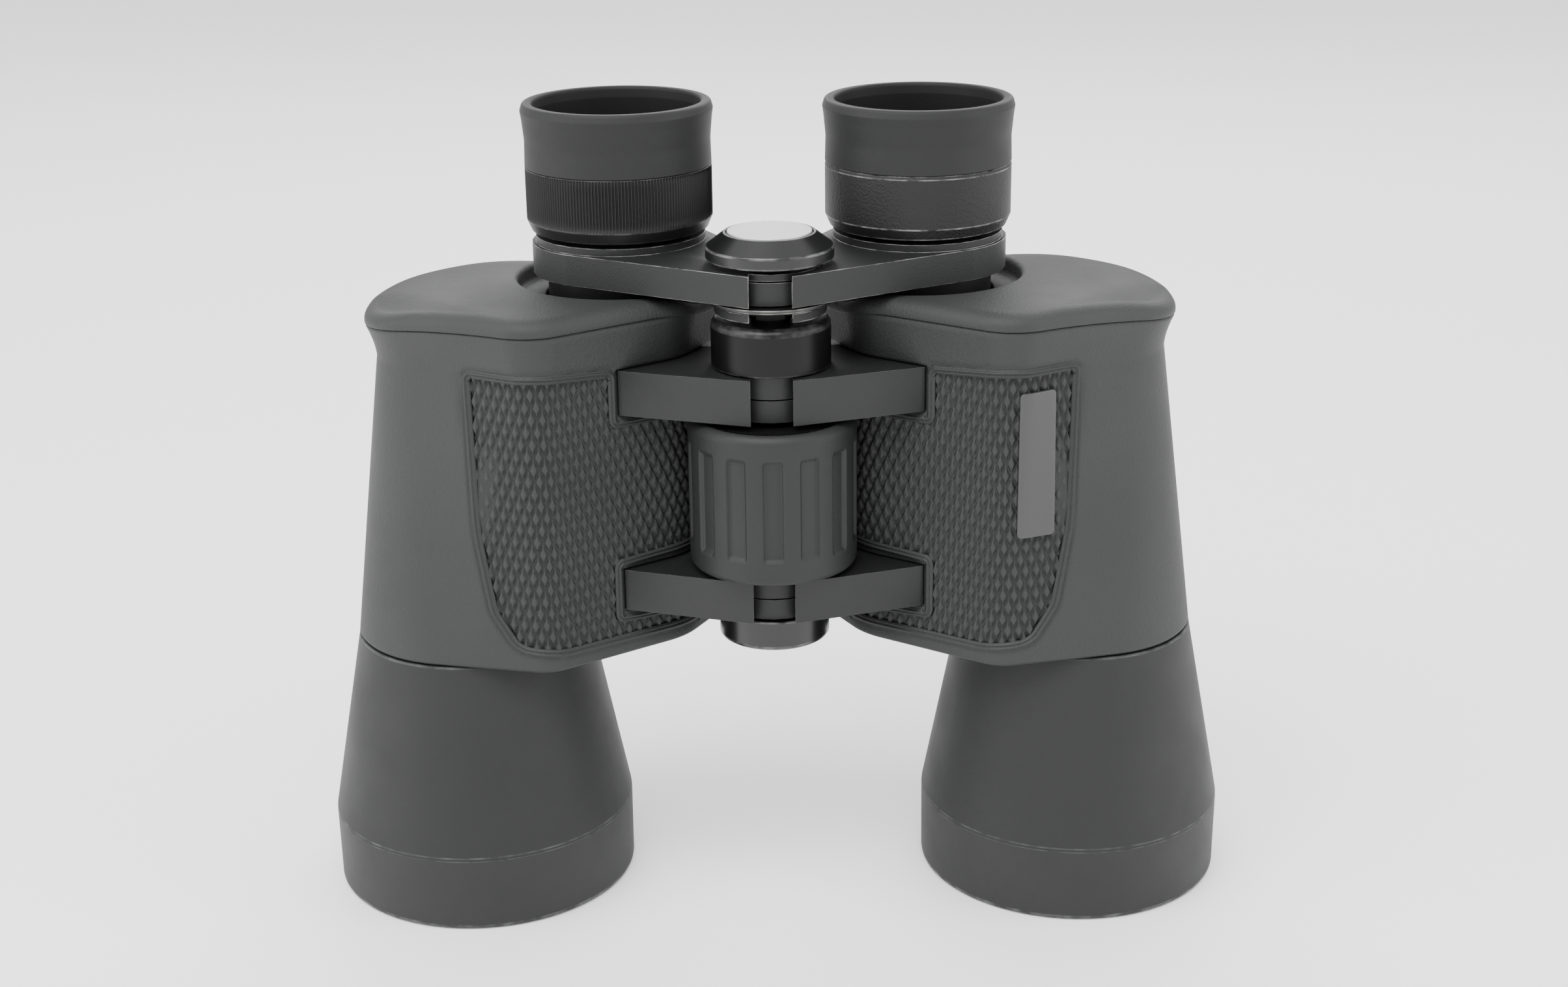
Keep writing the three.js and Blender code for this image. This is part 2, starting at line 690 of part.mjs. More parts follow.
function focusWheelGrip() {
  const inner = wheelRadius - wheelGripWall;
  let grip = ring([
    [inner, wheelBottom], [wheelRadius - wheelLowEdge, wheelBottom],
    [wheelRadius, wheelBottom + wheelLowEdge], [wheelRadius, wheelTop - wheelHighEdge],
    [wheelRadius - wheelHighEdge, wheelTop], [inner, wheelTop],
  ], ringSides, hinge);
  const middle = (wheelBottom + wheelTop) / 2;
  const pocketLength = wheelLength - 2 * pocketMargin;
  for (let i = 0; i < pocketCount; i++) {
    const pocket = new THREE.BoxGeometry(2, pocketWidth, pocketLength);
    pocket.translate(wheelRadius - pocketDepth + 1, 0, 0);
    pocket.rotateZ((2 * Math.PI * (i + 0.5)) / pocketCount);
    pocket.translate(hinge.x, hinge.y, middle);
    grip = grip.subtract(solid(pocket));
  }
  return grip;
}

function focusScrew() {
  return disc(screwRadius, screwBottom, screwTop, smallSides, hinge);
}

function hingeCollar() {
  const low = upperLugTop + gap;
  const high = low + collarHeight;
  return ring([
    [boreRadius, low], [collarRadius, low], [collarRadius, high - collarChamfer],
    [collarRadius - collarChamfer, high], [boreRadius, high],
  ], ringSides, hinge);
}

function bridgeNut() {
  const slot = new THREE.BoxGeometry(2 * slotHalfWidth, nutRadius, nutHeight + 2);
  slot.translate(0, hinge.y - nutRadius + nutSlotFloor, nutBottom + nutHeight / 2);
  const nut = tube(boreRadius, nutRadius, nutBottom, nutBottom + nutHeight, ringSides, hinge);
  return nut.subtract(solid(slot));
}

function hingeCap() {
  const top = capBottom + capHeight;
  const sink = top - labelSink - gap;
  return turned([
    [0, screwTop + gap], [boreRadius, screwTop + gap], [boreRadius, capBottom], [capRadius, capBottom],
    [capRadius, capBottom + capBand], [capTopRadius, top], [labelRadius + gap, top],
    [labelRadius + gap, sink], [0, sink],
  ], ringSides, hinge);
}

// A thin blank plate that follows the right grip's surface, on the flat run between the front ridge
// and the objective lobe.
function gripPlate() {
  const ridge = { x: ridgeSpread, y: ridgeRadius - ridgeDepth };
  const span = new THREE.Vector2(objective.x - ridge.x, objective.y - ridge.y);
  const lean = Math.asin((lobeRadius(plateCentre) - ridgeRadius) / span.length());
  const heading = span.angle() - lean;
  const cutter = new THREE.BoxGeometry(plateWidth, 3 * ridgeRadius, plateHeight);
  cutter.translate(plateOffset + plateWidth / 2, -ridgeRadius, 0);
  cutter.rotateZ(heading);
  cutter.translate(ridge.x, ridge.y, plateCentre);
  return housingSolid(1, -gap - plateThickness, housingBottom, housingTop)
    .subtract(housingSolid(1, -gap, housingBottom - 1, housingTop + 1))
    .intersect(solid(cutter));
}

// ---------------------------------------------------------------- assembly
function half(side, name) {
  const group = new THREE.Group();
  group.add(
    meshOf(name + "_housing", housingCasting(side), lugPaint),
    meshOf(name + "_armour", armour(side), armourRubber),
    meshOf(name + "_prism_cover", prismCover(side), armourRubber),
    meshOf(name + "_objective_barrel", objectiveBarrel(side), barrelPaint),
    meshOf(name + "_objective_rim", objectiveRim(side), barrelPaint),
    ...objectiveGroup(side, name),
    ...prismGroup(side, name),
  );
  return group;
}

function eyepieceGroup(side, name, ringName) {
  const group = new THREE.Group();
  group.add(
    meshOf(name + "_bridge_arm", bridgeArm(side), lugPaint),
    meshOf(name + "_eyepiece_tube", eyepieceTube(side), innerBlack),
    meshOf(name + "_field_lens", fieldLens(side), glass),
    meshOf(name + "_eyepiece_cell", eyepieceCell(side), innerBlack),
    meshOf(name + "_eye_lens", eyeLens(side), glass),
    meshOf(ringName, eyepieceRing(side), lugPaint),
    meshOf(name + "_eyecup", eyecup(side), cupRubber),
  );
  return group;
}

function hingeGroup() {
  const group = new THREE.Group();
  const bush = tube(boreRadius, hingeBoreRadius - gap, upperLugBottom, upperLugTop, smallSides, hinge);
  const washer = tube(boreRadius, washerRadius, washerBottom, washerBottom + washerHeight, ringSides, hinge);
  const labelLow = capBottom + capHeight - labelSink;
  const label = disc(labelRadius, labelLow, labelLow + labelThickness, ringSides, hinge);
  group.add(
    meshOf("lower_hinge_pin", lowerHingePin(), steel),
    meshOf("tripod_insert", tripodInsert(), brass),
    meshOf("tripod_cap", tripodCap(), glossBlack),
    meshOf("upper_hinge_bush", bush, steel),
    meshOf("hinge_collar", hingeCollar(), glossBlack),
    meshOf("focus_wheel_core", focusWheelCore(), innerBlack),
    meshOf("focus_wheel_grip", focusWheelGrip(), cupRubber),
    meshOf("focus_screw", focusScrew(), brass),
    meshOf("bridge_nut", bridgeNut(), lugPaint),
    meshOf("bridge_washer", washer, steel),
    meshOf("hinge_cap", hingeCap(), glossBlack),
    meshOf("cap_label", label, silverLabel),
    meshOf("grip_plate", gripPlate(), glossBlack),
  );
  return group;
}

const group = new THREE.Group();
group.add(half(-1, "left"));
group.add(half(1, "right"));
group.add(eyepieceGroup(-1, "left", "left_dioptre_ring"));
group.add(eyepieceGroup(1, "right", "right_eyepiece_ring"));
group.add(hingeGroup());

export default group;
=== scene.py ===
"""Visible pieces of a pair of porro prism binoculars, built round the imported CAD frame.

Lengths are metres and +Z is up. The hinge side faces -Y and the right half is on +X.
Each piece is a surface worked out with numpy, and each finish is a procedural material.
"""
import math

import bmesh
import bpy
import numpy as np
from mathutils import Matrix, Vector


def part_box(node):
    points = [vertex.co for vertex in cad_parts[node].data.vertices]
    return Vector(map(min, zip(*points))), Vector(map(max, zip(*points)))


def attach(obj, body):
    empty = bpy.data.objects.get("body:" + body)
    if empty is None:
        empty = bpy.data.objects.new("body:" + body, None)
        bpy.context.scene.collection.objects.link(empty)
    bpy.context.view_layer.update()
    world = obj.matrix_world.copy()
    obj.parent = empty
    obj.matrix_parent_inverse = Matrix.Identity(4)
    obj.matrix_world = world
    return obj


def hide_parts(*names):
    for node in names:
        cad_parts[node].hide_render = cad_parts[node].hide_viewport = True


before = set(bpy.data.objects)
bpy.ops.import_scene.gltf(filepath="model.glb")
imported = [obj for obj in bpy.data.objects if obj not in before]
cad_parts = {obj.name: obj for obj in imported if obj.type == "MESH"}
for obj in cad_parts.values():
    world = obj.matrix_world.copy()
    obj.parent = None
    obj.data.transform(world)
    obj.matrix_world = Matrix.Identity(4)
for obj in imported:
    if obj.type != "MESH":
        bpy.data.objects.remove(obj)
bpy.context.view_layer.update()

bl_info = {
    "name": "Porro Binoculars",
    "version": (1, 0, 0),
    "blender": (4, 5, 0),
    "location": "View3D > Sidebar > Binoculars",
    "description": "Builds the visible pieces of a pair of binoculars round its CAD frame",
    "category": "Object",
}

MM = 0.001
SIDES = (("left", -1), ("right", 1))
TURN = 2 * math.pi
FEW, SOME, MANY, FINE, MOST = 72, 96, 128, 144, 192  # columns round a turned piece
CORNER_LIMIT = math.radians(32)  # edges sharper than this are rounded on castings
LUG_OVER_CAP = 6.6 * MM  # from the tripod cap's foot to the lower lug
HINGE_BORE = 4.3 * MM
TUBE_WALL = 3 * MM
STEM_WALL = 1.4 * MM
RING_WALL = 2.7 * MM
CUP_WALL = 2.1 * MM
KNURL_RIBS = 180
PLUG_COLUMNS = 180
WHEEL_POCKETS = 14
LENS_SAMPLES = 14
FINE_INWARDS, FINE_OUTWARDS = 40 * MM, 16 * MM  # fine columns of the armour beside each ridge
OUTER_COLUMNS, INNER_COLUMNS, LINING_ROWS = 40, 22, 9
FAR_OUT, FAR_IN = 40 * MM, -60 * MM  # runs that lie off the grips
LIGHTS = (  # name, place in metres, width, height and watts
    ("key_light", (-0.25, -0.55, 1.1), 1.0, 0.7, 17),
    ("left_light", (-1.1, -0.3, 0.5), 0.6, 0.9, 7),
    ("right_light", (1.1, -0.3, 0.5), 0.6, 0.9, 6),
    ("back_light", (0.1, 0.9, 0.8), 1.2, 0.5, 8),
)
LIGHTS_AIM = (0, 0, 0.09)
SKY_STRENGTH = 1.6
CAMERA_PLACE = (-0.00073, -0.44373, 0.23991)
CAMERA_PITCH, CAMERA_ROLL, CAMERA_HEADING = 19.279, 0.686, 0.397  # degrees
CAMERA_LENS, CAMERA_SENSOR = 51.18, 36.0
TONE_LIFT = 0.5  # moves the fine grain towards the lighter of its two tones


# ------------------------------------------------------------------ sizes and colours
def length(name, description, millimetres):
    return bpy.props.FloatProperty(
        name=name, description=description, default=millimetres * MM, precision=5,
        subtype="DISTANCE", unit="LENGTH")


def colour(name, description, value):
    return bpy.props.FloatVectorProperty(
        name=name, description=description, default=value, size=3, min=0.0, max=1.0,
        subtype="COLOR")


def share(name, description, value):
    return bpy.props.FloatProperty(
        name=name, description=description, default=value, min=0.0, max=1.0, subtype="FACTOR")


class HousingSizes(bpy.types.PropertyGroup):
    lobe_foot: length("Lobe Foot", "Radius round the objective axis at the barrel seam", 24.5)
    lobe_neck: length("Lobe Neck", "Radius of the same lobe where the flare starts", 16.7)
    neck_height: length("Neck Height", "Height over the floor where the flare starts", 117)
    flare_reach: length("Flare Reach", "How far the top leans out again", 2.0)
    ridge_spread: length("Ridge Spread", "Front and back ridges, out from the middle", 47)
    ridge_depth: length("Ridge Depth", "Front and back ridges, out from the objective axes", 28.8)
    ridge_radius: length("Ridge Radius", "Rounding of the ridges", 8)
    inner_lobe_x: length("Inner Lobe X", "Inner lobe beside the hinge, out from the middle", 31.5)
    inner_lobe_y: length("Inner Lobe Y", "Inner lobe beside the hinge, behind the barrel axes", 1)
    inner_lobe_radius: length("Inner Lobe Radius", "Rounding beside the hinge", 17)
    guide_wall: length("Guide Wall", "Housing outside the eyepiece tube", 4.6)
    wall: length("Wall", "Thickness of the rubber armour", 1.6)
    cover_round: length("Cover Round", "Rounding of the shoulder's edge", 3.2)
    cover_drop: length("Cover Drop", "How far the shoulder falls to its outer end", 4)
    cover_back: length("Cover Back", "How far the shoulder falls at its back edge", 2.0)
    cover_facet: bpy.props.FloatProperty(
        name="Cover Facet", description="Slope of the front outer corner's facet", default=0.22)
    seam_lift: length("Seam Lift", "Rise of the shoulder seam on the inner side", 2.0)
    seam_fall: length("Seam Fall", "How far that seam falls to the outer end", 3.3)
    recess_radius: length("Recess Radius", "Cut in the shoulder round the eyepiece", 21.6)
    recess_depth: length("Recess Depth", "Depth of the same cut", 3.6)


class GripSizes(bpy.types.PropertyGroup):
    lozenge_width: length("Lozenge Width", "Across one lozenge of the grip", 2.4)
    lozenge_steps: bpy.props.IntProperty(
        name="Lozenge Steps", description="Mesh cells across one lozenge", default=10, min=4,
        max=16)
    lozenge_rows: bpy.props.FloatProperty(
        name="Lozenge Rows", description="Lozenges from the seam to the cover", default=13.4)
    groove_depth: length("Groove Depth", "Depth of the grooves between lozenges", 0.85)
    bead_width: length("Bead Width", "Width of the border bead", 1.7)
    bead_height: length("Bead Height", "Height of the border bead", 0.5)
    outer_top: length("Outer Top", "Outer edge at the top, out from the front ridge", 15)
    outer_middle: length("Outer Middle", "Outer edge half way up, out from the front ridge", 13.3)
    outer_foot: length("Outer Foot", "Outer edge above the bottom corner", 10)
    corner_foot: length("Corner Foot", "Where the bottom corner ends, out from the ridge", 5)
    inner_edge: length("Inner Edge", "Edge beside the lugs, in from the front ridge", 18.1)
    inner_reach: length("Inner Reach", "How far the grip wraps round between the lugs", 39)
    top: length("Top", "Height of the top edge", 118)
    foot: length("Foot", "Height of the bottom edge", 60.2)
    lug_clearance: length("Lug Clearance", "From the lugs to the border beside them", 1.7)
    plate_start: length("Plate Start", "Edge of the blank plate, out from the front ridge", 1.3)
    plate_width: length("Plate Width", "Across the blank plate, along the grip", 8.2)


class FinishColours(bpy.types.PropertyGroup):
    armour: colour("Armour", "Rubber armour", (0.0125, 0.0132, 0.0129))
    barrel: colour("Barrel", "Painted barrels", (0.0095, 0.01, 0.0098))
    rim: colour("Rim", "Rings at the front of the barrels", (0.0118, 0.0124, 0.012))
    casting: colour("Casting", "Satin paint on lugs and arms", (0.0075, 0.008, 0.0078))
    gloss: colour("Gloss", "Gloss black caps and collar", (0.003, 0.0032, 0.0032))
    collar: colour("Collar", "Satin black collar of the hinge", (0.0022, 0.0022, 0.0022))
    # Cup Inner is painted shade: the eyecup rubber made darker inside the cup, where shade falls.
    cup_inner_shade: colour("Cup Inner", "Inside of the eyecups", (0.0035, 0.0035, 0.0035))
    cup: colour("Cup", "Eyecup rubber", (0.0075, 0.0078, 0.0077))
    wheel: colour("Wheel", "Focus wheel rubber", (0.0075, 0.008, 0.0078))
    inner: colour("Inner", "Blacked inside surfaces", (0.001, 0.001, 0.001))
    ring: colour("Ring", "Eyepiece rings", (0.003, 0.0031, 0.003))
    label: colour("Label", "Blank disc on the hinge cap", (0.5, 0.505, 0.51))
    plate: colour("Plate", "Blank plate on the grip", (0.03, 0.031, 0.03))
    # Wear also scales the painted highlight on the casting bevels and the ring band's top edge.
    wear: share("Wear", "How much worn edges show", 0.75)


# ------------------------------------------------------------------ shapes in numpy
def unit(vectors):
    return vectors / np.maximum(np.linalg.norm(vectors, axis=-1, keepdims=True), 1e-12)


def rounded(points, radii, steps=5, support=0.12 * MM):
    """Closed outline with an arc at each corner, and how much of an edge each point is.

    The arc's centre lies on the corner's bisector, radius / sin(half the corner) away. The arc
    turns from one touching point to the other, and a support point follows at each end.
    """
    here = np.asarray(points, float)
    back, ahead = unit(np.roll(here, 1, 0) - here), unit(np.roll(here, -1, 0) - here)
    half = np.arccos(np.clip((back * ahead).sum(1), -1, 1))[:, None] / 2
    radii = np.broadcast_to(radii, len(here))[:, None]
    cut = radii / np.tan(half)
    centre = here + unit(back + ahead) * radii / np.sin(half)
    start, end = here + back * cut - centre, here + ahead * cut - centre
    sweep = (math.pi - 2 * half)[:, None]
    t = np.linspace(0, 1, steps)[None, :, None]
    arc = np.sin((1 - t) * sweep) * start[:, None] + np.sin(t * sweep) * end[:, None]
    arc = arc / np.sin(sweep)
    before, after = here + back * (cut + support), here + ahead * (cut + support)
    sharp = radii < 1e-9
    rows = np.concatenate([before[:, None], centre[:, None] + arc, after[:, None]], 1)
    edge = np.ones(rows.shape[:2])
    edge[:, 0] = edge[:, -1] = 0
    rows = np.where(sharp[:, None], here[:, None], rows).reshape(-1, 2)
    edge = np.where(sharp, 0, edge).reshape(-1)
    keep = np.linalg.norm(rows - np.roll(rows, 1, 0), axis=1) > 1e-9
    return rows[keep], edge[keep]


def dense(points, edge, step, closed=True):
    """The same outline with more points, so that no run between two points is over step long."""
    loop = np.concatenate([points, points[:1]]) if closed else points
    marks = np.concatenate([edge, edge[:1]]) if closed else edge
    along = np.concatenate([[0], np.cumsum(np.linalg.norm(np.diff(loop, axis=0), axis=1))])
    pieces = np.maximum(1, np.ceil(np.diff(along) / step)).astype(int)
    start = np.repeat(along[:-1], pieces)
    size = np.repeat(np.diff(along) / pieces, pieces)
    number = np.arange(pieces.sum()) - np.repeat(np.cumsum(pieces) - pieces, pieces)
    at = start + size * number
    if not closed:
        at = np.concatenate([at, along[-1:]])
    return (np.stack([np.interp(at, along, loop[:, k]) for k in (0, 1)], 1),
            np.interp(at, along, marks))


def grid_faces(rows, columns, wrap=False, first=0):
    """Quads of a grid whose columns close on themselves, and its rows too if wrap is set."""
    i = np.arange(rows if wrap else rows - 1)[:, None] * np.ones((1, columns), int)
    j = np.arange(columns)[None] * np.ones((len(i), 1), int)
    up, on = (i + 1) % rows, (j + 1) % columns
    corners = [i * columns + j, i * columns + on, up * columns + on, up * columns + j]
    return first + np.stack(corners, -1).reshape(-1, 4)


def fan_faces(ring, pole, upward):
    """Triangles from a closed ring of points to one pole."""
    following = np.roll(ring, -1)
    poles = np.full(len(ring), pole)
    order = (ring, following, poles) if upward else (following, ring, poles)
    return np.stack(order, -1)


def new_mesh(name, points, face_sets, edge=None, flip=False):
    """Mesh from an array of points and arrays of quads or triangles that face outwards."""
    if flip:
        face_sets = [faces[:, ::-1] for faces in face_sets]
    points = np.ascontiguousarray(points.reshape(-1, 3), dtype=np.float32)
    loops = np.concatenate([faces.ravel() for faces in face_sets]).astype(np.int32)
    sizes = np.concatenate([np.full(len(faces), faces.shape[1]) for faces in face_sets])
    starts = (np.cumsum(sizes) - sizes).astype(np.int32)
    mesh = bpy.data.meshes.new(name)
    mesh.vertices.add(len(points))
    mesh.vertices.foreach_set("co", points.ravel())
    mesh.loops.add(len(loops))
    mesh.loops.foreach_set("vertex_index", loops)
    mesh.polygons.add(len(sizes))
    mesh.polygons.foreach_set("loop_start", starts)
    mesh.update(calc_edges=True)
    mesh.validate()
    mesh.polygons.foreach_set("use_smooth", np.ones(len(mesh.polygons), bool))
    marks = np.zeros(len(points)) if edge is None else edge
    attribute = mesh.attributes.new("edge", "FLOAT", "POINT")
    attribute.data.foreach_set("value", np.asarray(marks, np.float32).ravel())
    return mesh


def look(name):
    """A finish by its name; the frame's own materials have the names of the slots."""
    return bpy.data.materials["look_" + name]


def add_piece(name, mesh, materials, body, replaced=()):
    """Links a mesh as a piece that rides on a body and takes the finishes it is given by name."""
    piece = bpy.data.objects.new(name, mesh)
    bpy.context.scene.collection.objects.link(piece)
    for material in materials:
        mesh.materials.append(look(material))
    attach(piece, body)
    if replaced:
        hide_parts(*replaced)
    return piece


def turned(name, profile, edge, centre, columns=96, shift=None):
    """Surface of revolution of a closed [radius, height] profile that goes anticlockwise.

    A point is centre + (radius + shift) * (cos a, sin a) at its height. shift(angle, radius,
    height) moves the skin in or out. A profile that touches the axis ends there in two poles.
    """
    on_axis = np.abs(profile[:, 0]) < 1e-7
    poles = on_axis.any()
    if poles:
        first = np.flatnonzero(on_axis & ~np.roll(on_axis, -1))[0]
        profile, edge = np.roll(profile, -first, 0), np.roll(edge, -first)
        ends = profile[np.abs(profile[:, 0]) < 1e-7][[0, -1], 1]
        keep = np.abs(profile[:, 0]) > 1e-7
        profile, edge = profile[keep], edge[keep]
    angle = np.arange(columns)[None] * TURN / columns
    radius, height = profile[:, :1], profile[:, 1:]
    reach = radius + (shift(angle, radius, height) if shift else 0)
    points = np.stack([centre[0] + reach * np.cos(angle), centre[1] + reach * np.sin(angle),
                       height + 0 * angle], -1).reshape(-1, 3)
    rows = len(profile)
    faces = [grid_faces(rows, columns, wrap=not poles)]
    marks = np.repeat(edge, columns)
    if poles:
        points = np.concatenate([points, [[*centre, ends[0]], [*centre, ends[1]]]])
        marks = np.concatenate([marks, [0, 0]])
        last = (rows - 1) * columns
        faces += [fan_faces(np.arange(columns), rows * columns, False),
                  fan_faces(last + np.arange(columns), rows * columns + 1, True)]
    return new_mesh(name, points, faces, marks)


def sizes():
    return bpy.context.scene.binocular_housing


def span(node):
    """Lowest and highest corner of a CAD node as arrays."""
    low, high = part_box(node)
    return np.array(low), np.array(high)


def axis_of(node):
    """Centre in the plan, radius, lowest and highest level of a round CAD node."""
    low, high = span(node)
    middle = (low + high) / 2
    return middle[:2], (high[0] - low[0]) / 2, low[2], high[2]


def housing_posts(heights, inset):
    """Centres of the five posts of the plan, and their radii at each height.

    The lobe's radius falls evenly from the seam to the neck. In the flare all posts grow by the
    reach times (way up)^1.5.
    """
    s = sizes()
    barrel, _, _, _ = axis_of("right_objective_barrel")
    eyepiece, tube, _, _ = axis_of("right_eyepiece_tube")
    foot, head = span("right_armour")[0][2], span("right_armour")[1][2]
    rise = np.clip((heights - foot) / (s.neck_height - foot), 0, 1)
    lobe = s.lobe_foot + (s.lobe_neck - s.lobe_foot) * rise
    way = np.clip((heights - s.neck_height) / (head - s.neck_height), 0, 1)
    grow = s.flare_reach * way ** 1.5 - inset
    ridge = s.ridge_depth - s.ridge_radius
    centres = np.array([[barrel[0], barrel[1]], [s.ridge_spread, -ridge], [s.ridge_spread, ridge],
                        [s.inner_lobe_x, s.inner_lobe_y], [eyepiece[0], eyepiece[1]]])
    steady = np.ones_like(lobe)
    radii = np.stack([lobe, s.ridge_radius * steady, s.ridge_radius * steady,
                      s.inner_lobe_radius * steady, (tube + s.guide_wall) * steady], -1)
    return centres, radii + np.asarray(grow)[..., None]


class HousingOutline:
    """Plan outlines of the right housing, one for each height.

    Each outline is the line a band takes round five posts. At a normal's angle the band touches
    the post with the greatest centre . normal + radius, and the run along the band is measured
    anticlockwise from the front ridge.
    """

    def __init__(self, heights, inset=0.0, samples=1440):
        self.heights = np.asarray(heights, float)
        centres, radii = housing_posts(self.heights, inset)
        angle = np.linspace(-math.pi / 2, 1.5 * math.pi, samples + 1)
        normal = np.stack([np.cos(angle), np.sin(angle)], -1)
        reach = (normal @ centres.T)[None] + radii[:, None, :]
        best = reach.argmax(-1)
        radius = np.take_along_axis(radii[:, None, :] + 0 * reach, best[..., None], -1)
        self.place = centres[best] + radius * normal[None]
        self.normal = np.broadcast_to(normal, self.place.shape)
        steps = np.linalg.norm(np.diff(self.place, axis=1), axis=-1)
        self.run = np.concatenate([np.zeros((len(steps), 1)), np.cumsum(steps, 1)], 1)
        self.total = self.run[:, -1]
        self.back = self.run[:, samples // 2]

    def at(self, run):
        """Places and outward normals at runs, one row of runs for each height."""
        run = np.mod(run, self.total[:, None])
        offset = np.arange(len(self.heights))[:, None] * 10.0
        known = (self.run + offset + np.arange(self.run.shape[1]) * 1e-12).ravel()
        wanted = (run + offset).ravel()
        values = [np.interp(wanted, known, grid[..., k].ravel()).reshape(run.shape)
                  for grid in (self.place, self.normal) for k in (0, 1)]
        return np.stack(values[:2], -1), unit(np.stack(values[2:], -1))


def inside(points, polygon):
    """True where a point is inside a closed polygon: a ray to the right crosses it an odd time."""
    x, y = points[..., None, 0], points[..., None, 1]
    a, b = polygon, np.roll(polygon, -1, 0)
    crosses = (a[:, 1] > y) != (b[:, 1] > y)
    rise = np.where(np.abs(b[:, 1] - a[:, 1]) < 1e-12, 1e-12, b[:, 1] - a[:, 1])
    meet = a[:, 0] + (y - a[:, 1]) * (b[:, 0] - a[:, 0]) / rise
    return (crosses & (x < meet)).sum(-1) % 2 == 1


def distance(points, polygon):
    """Signed distance to a closed polygon, below zero inside it."""
    a, b = polygon, np.roll(polygon, -1, 0)
    run = b - a
    offset = points[..., None, :] - a
    t = np.clip((offset * run).sum(-1) / np.maximum((run * run).sum(-1), 1e-15), 0, 1)
    gap = np.linalg.norm(offset - t[..., None] * run, axis=-1).min(-1)
    return np.where(inside(points, polygon), -gap, gap)


# ------------------------------------------------------------------ armour and grips
def lug_levels():
    """Lowest and highest level of the lower and upper lugs."""
    lower = (axis_of("tripod_cap")[2] + LUG_OVER_CAP, axis_of("lower_hinge_pin")[3])
    return lower, axis_of("upper_hinge_bush")[2:]


def seam_shift(across):
    """Rise of the shoulder seam: lift - fall * (way to the outer end)^2 at a distance across."""
    s = sizes()
    reach = span("right_prism_cover")[1][0]
    far = np.clip((across - reach + 36 * MM) / (36 * MM), 0, 1)
    return s.seam_lift - s.seam_fall * far ** 2


def grip_outline():
    """Corners of the grip as run from the ridge (inwards is below zero) and height, rounded."""
    g = bpy.context.scene.binocular_grip
    (low_a, low_b), (high_a, _) = lug_levels()
    near, reach = -g.inner_edge, -g.inner_reach
    clear = g.lug_clearance
    corners = np.array([
        [g.outer_foot, g.foot + 9 * MM], [g.outer_middle, 86 * MM],
        [g.outer_top, g.top + 0.3 * MM],
        [-1 * MM, g.top + 0.6 * MM], [near, g.top - 0.9 * MM],
        [near, high_a - clear], [reach, high_a - clear - 0.2 * MM],
        [reach, low_b + clear + 0.6 * MM], [near, low_b + clear],
        [near, low_a - clear], [reach, low_a - clear - 1.2 * MM],
        [reach, g.foot], [-6 * MM, g.foot + 0.3 * MM], [g.corner_foot, g.foot + 1.6 * MM],
    ])
    radii = np.array([6, 40, 1.4, 30, 1.2, 1.2, 1.0, 1.0, 1.2, 1.2, 0.8, 0.8, 20, 5]) * MM
    points, edge = rounded(corners, radii, 7, 0.05 * MM)
    return dense(points, edge, 0.5 * MM)[0]


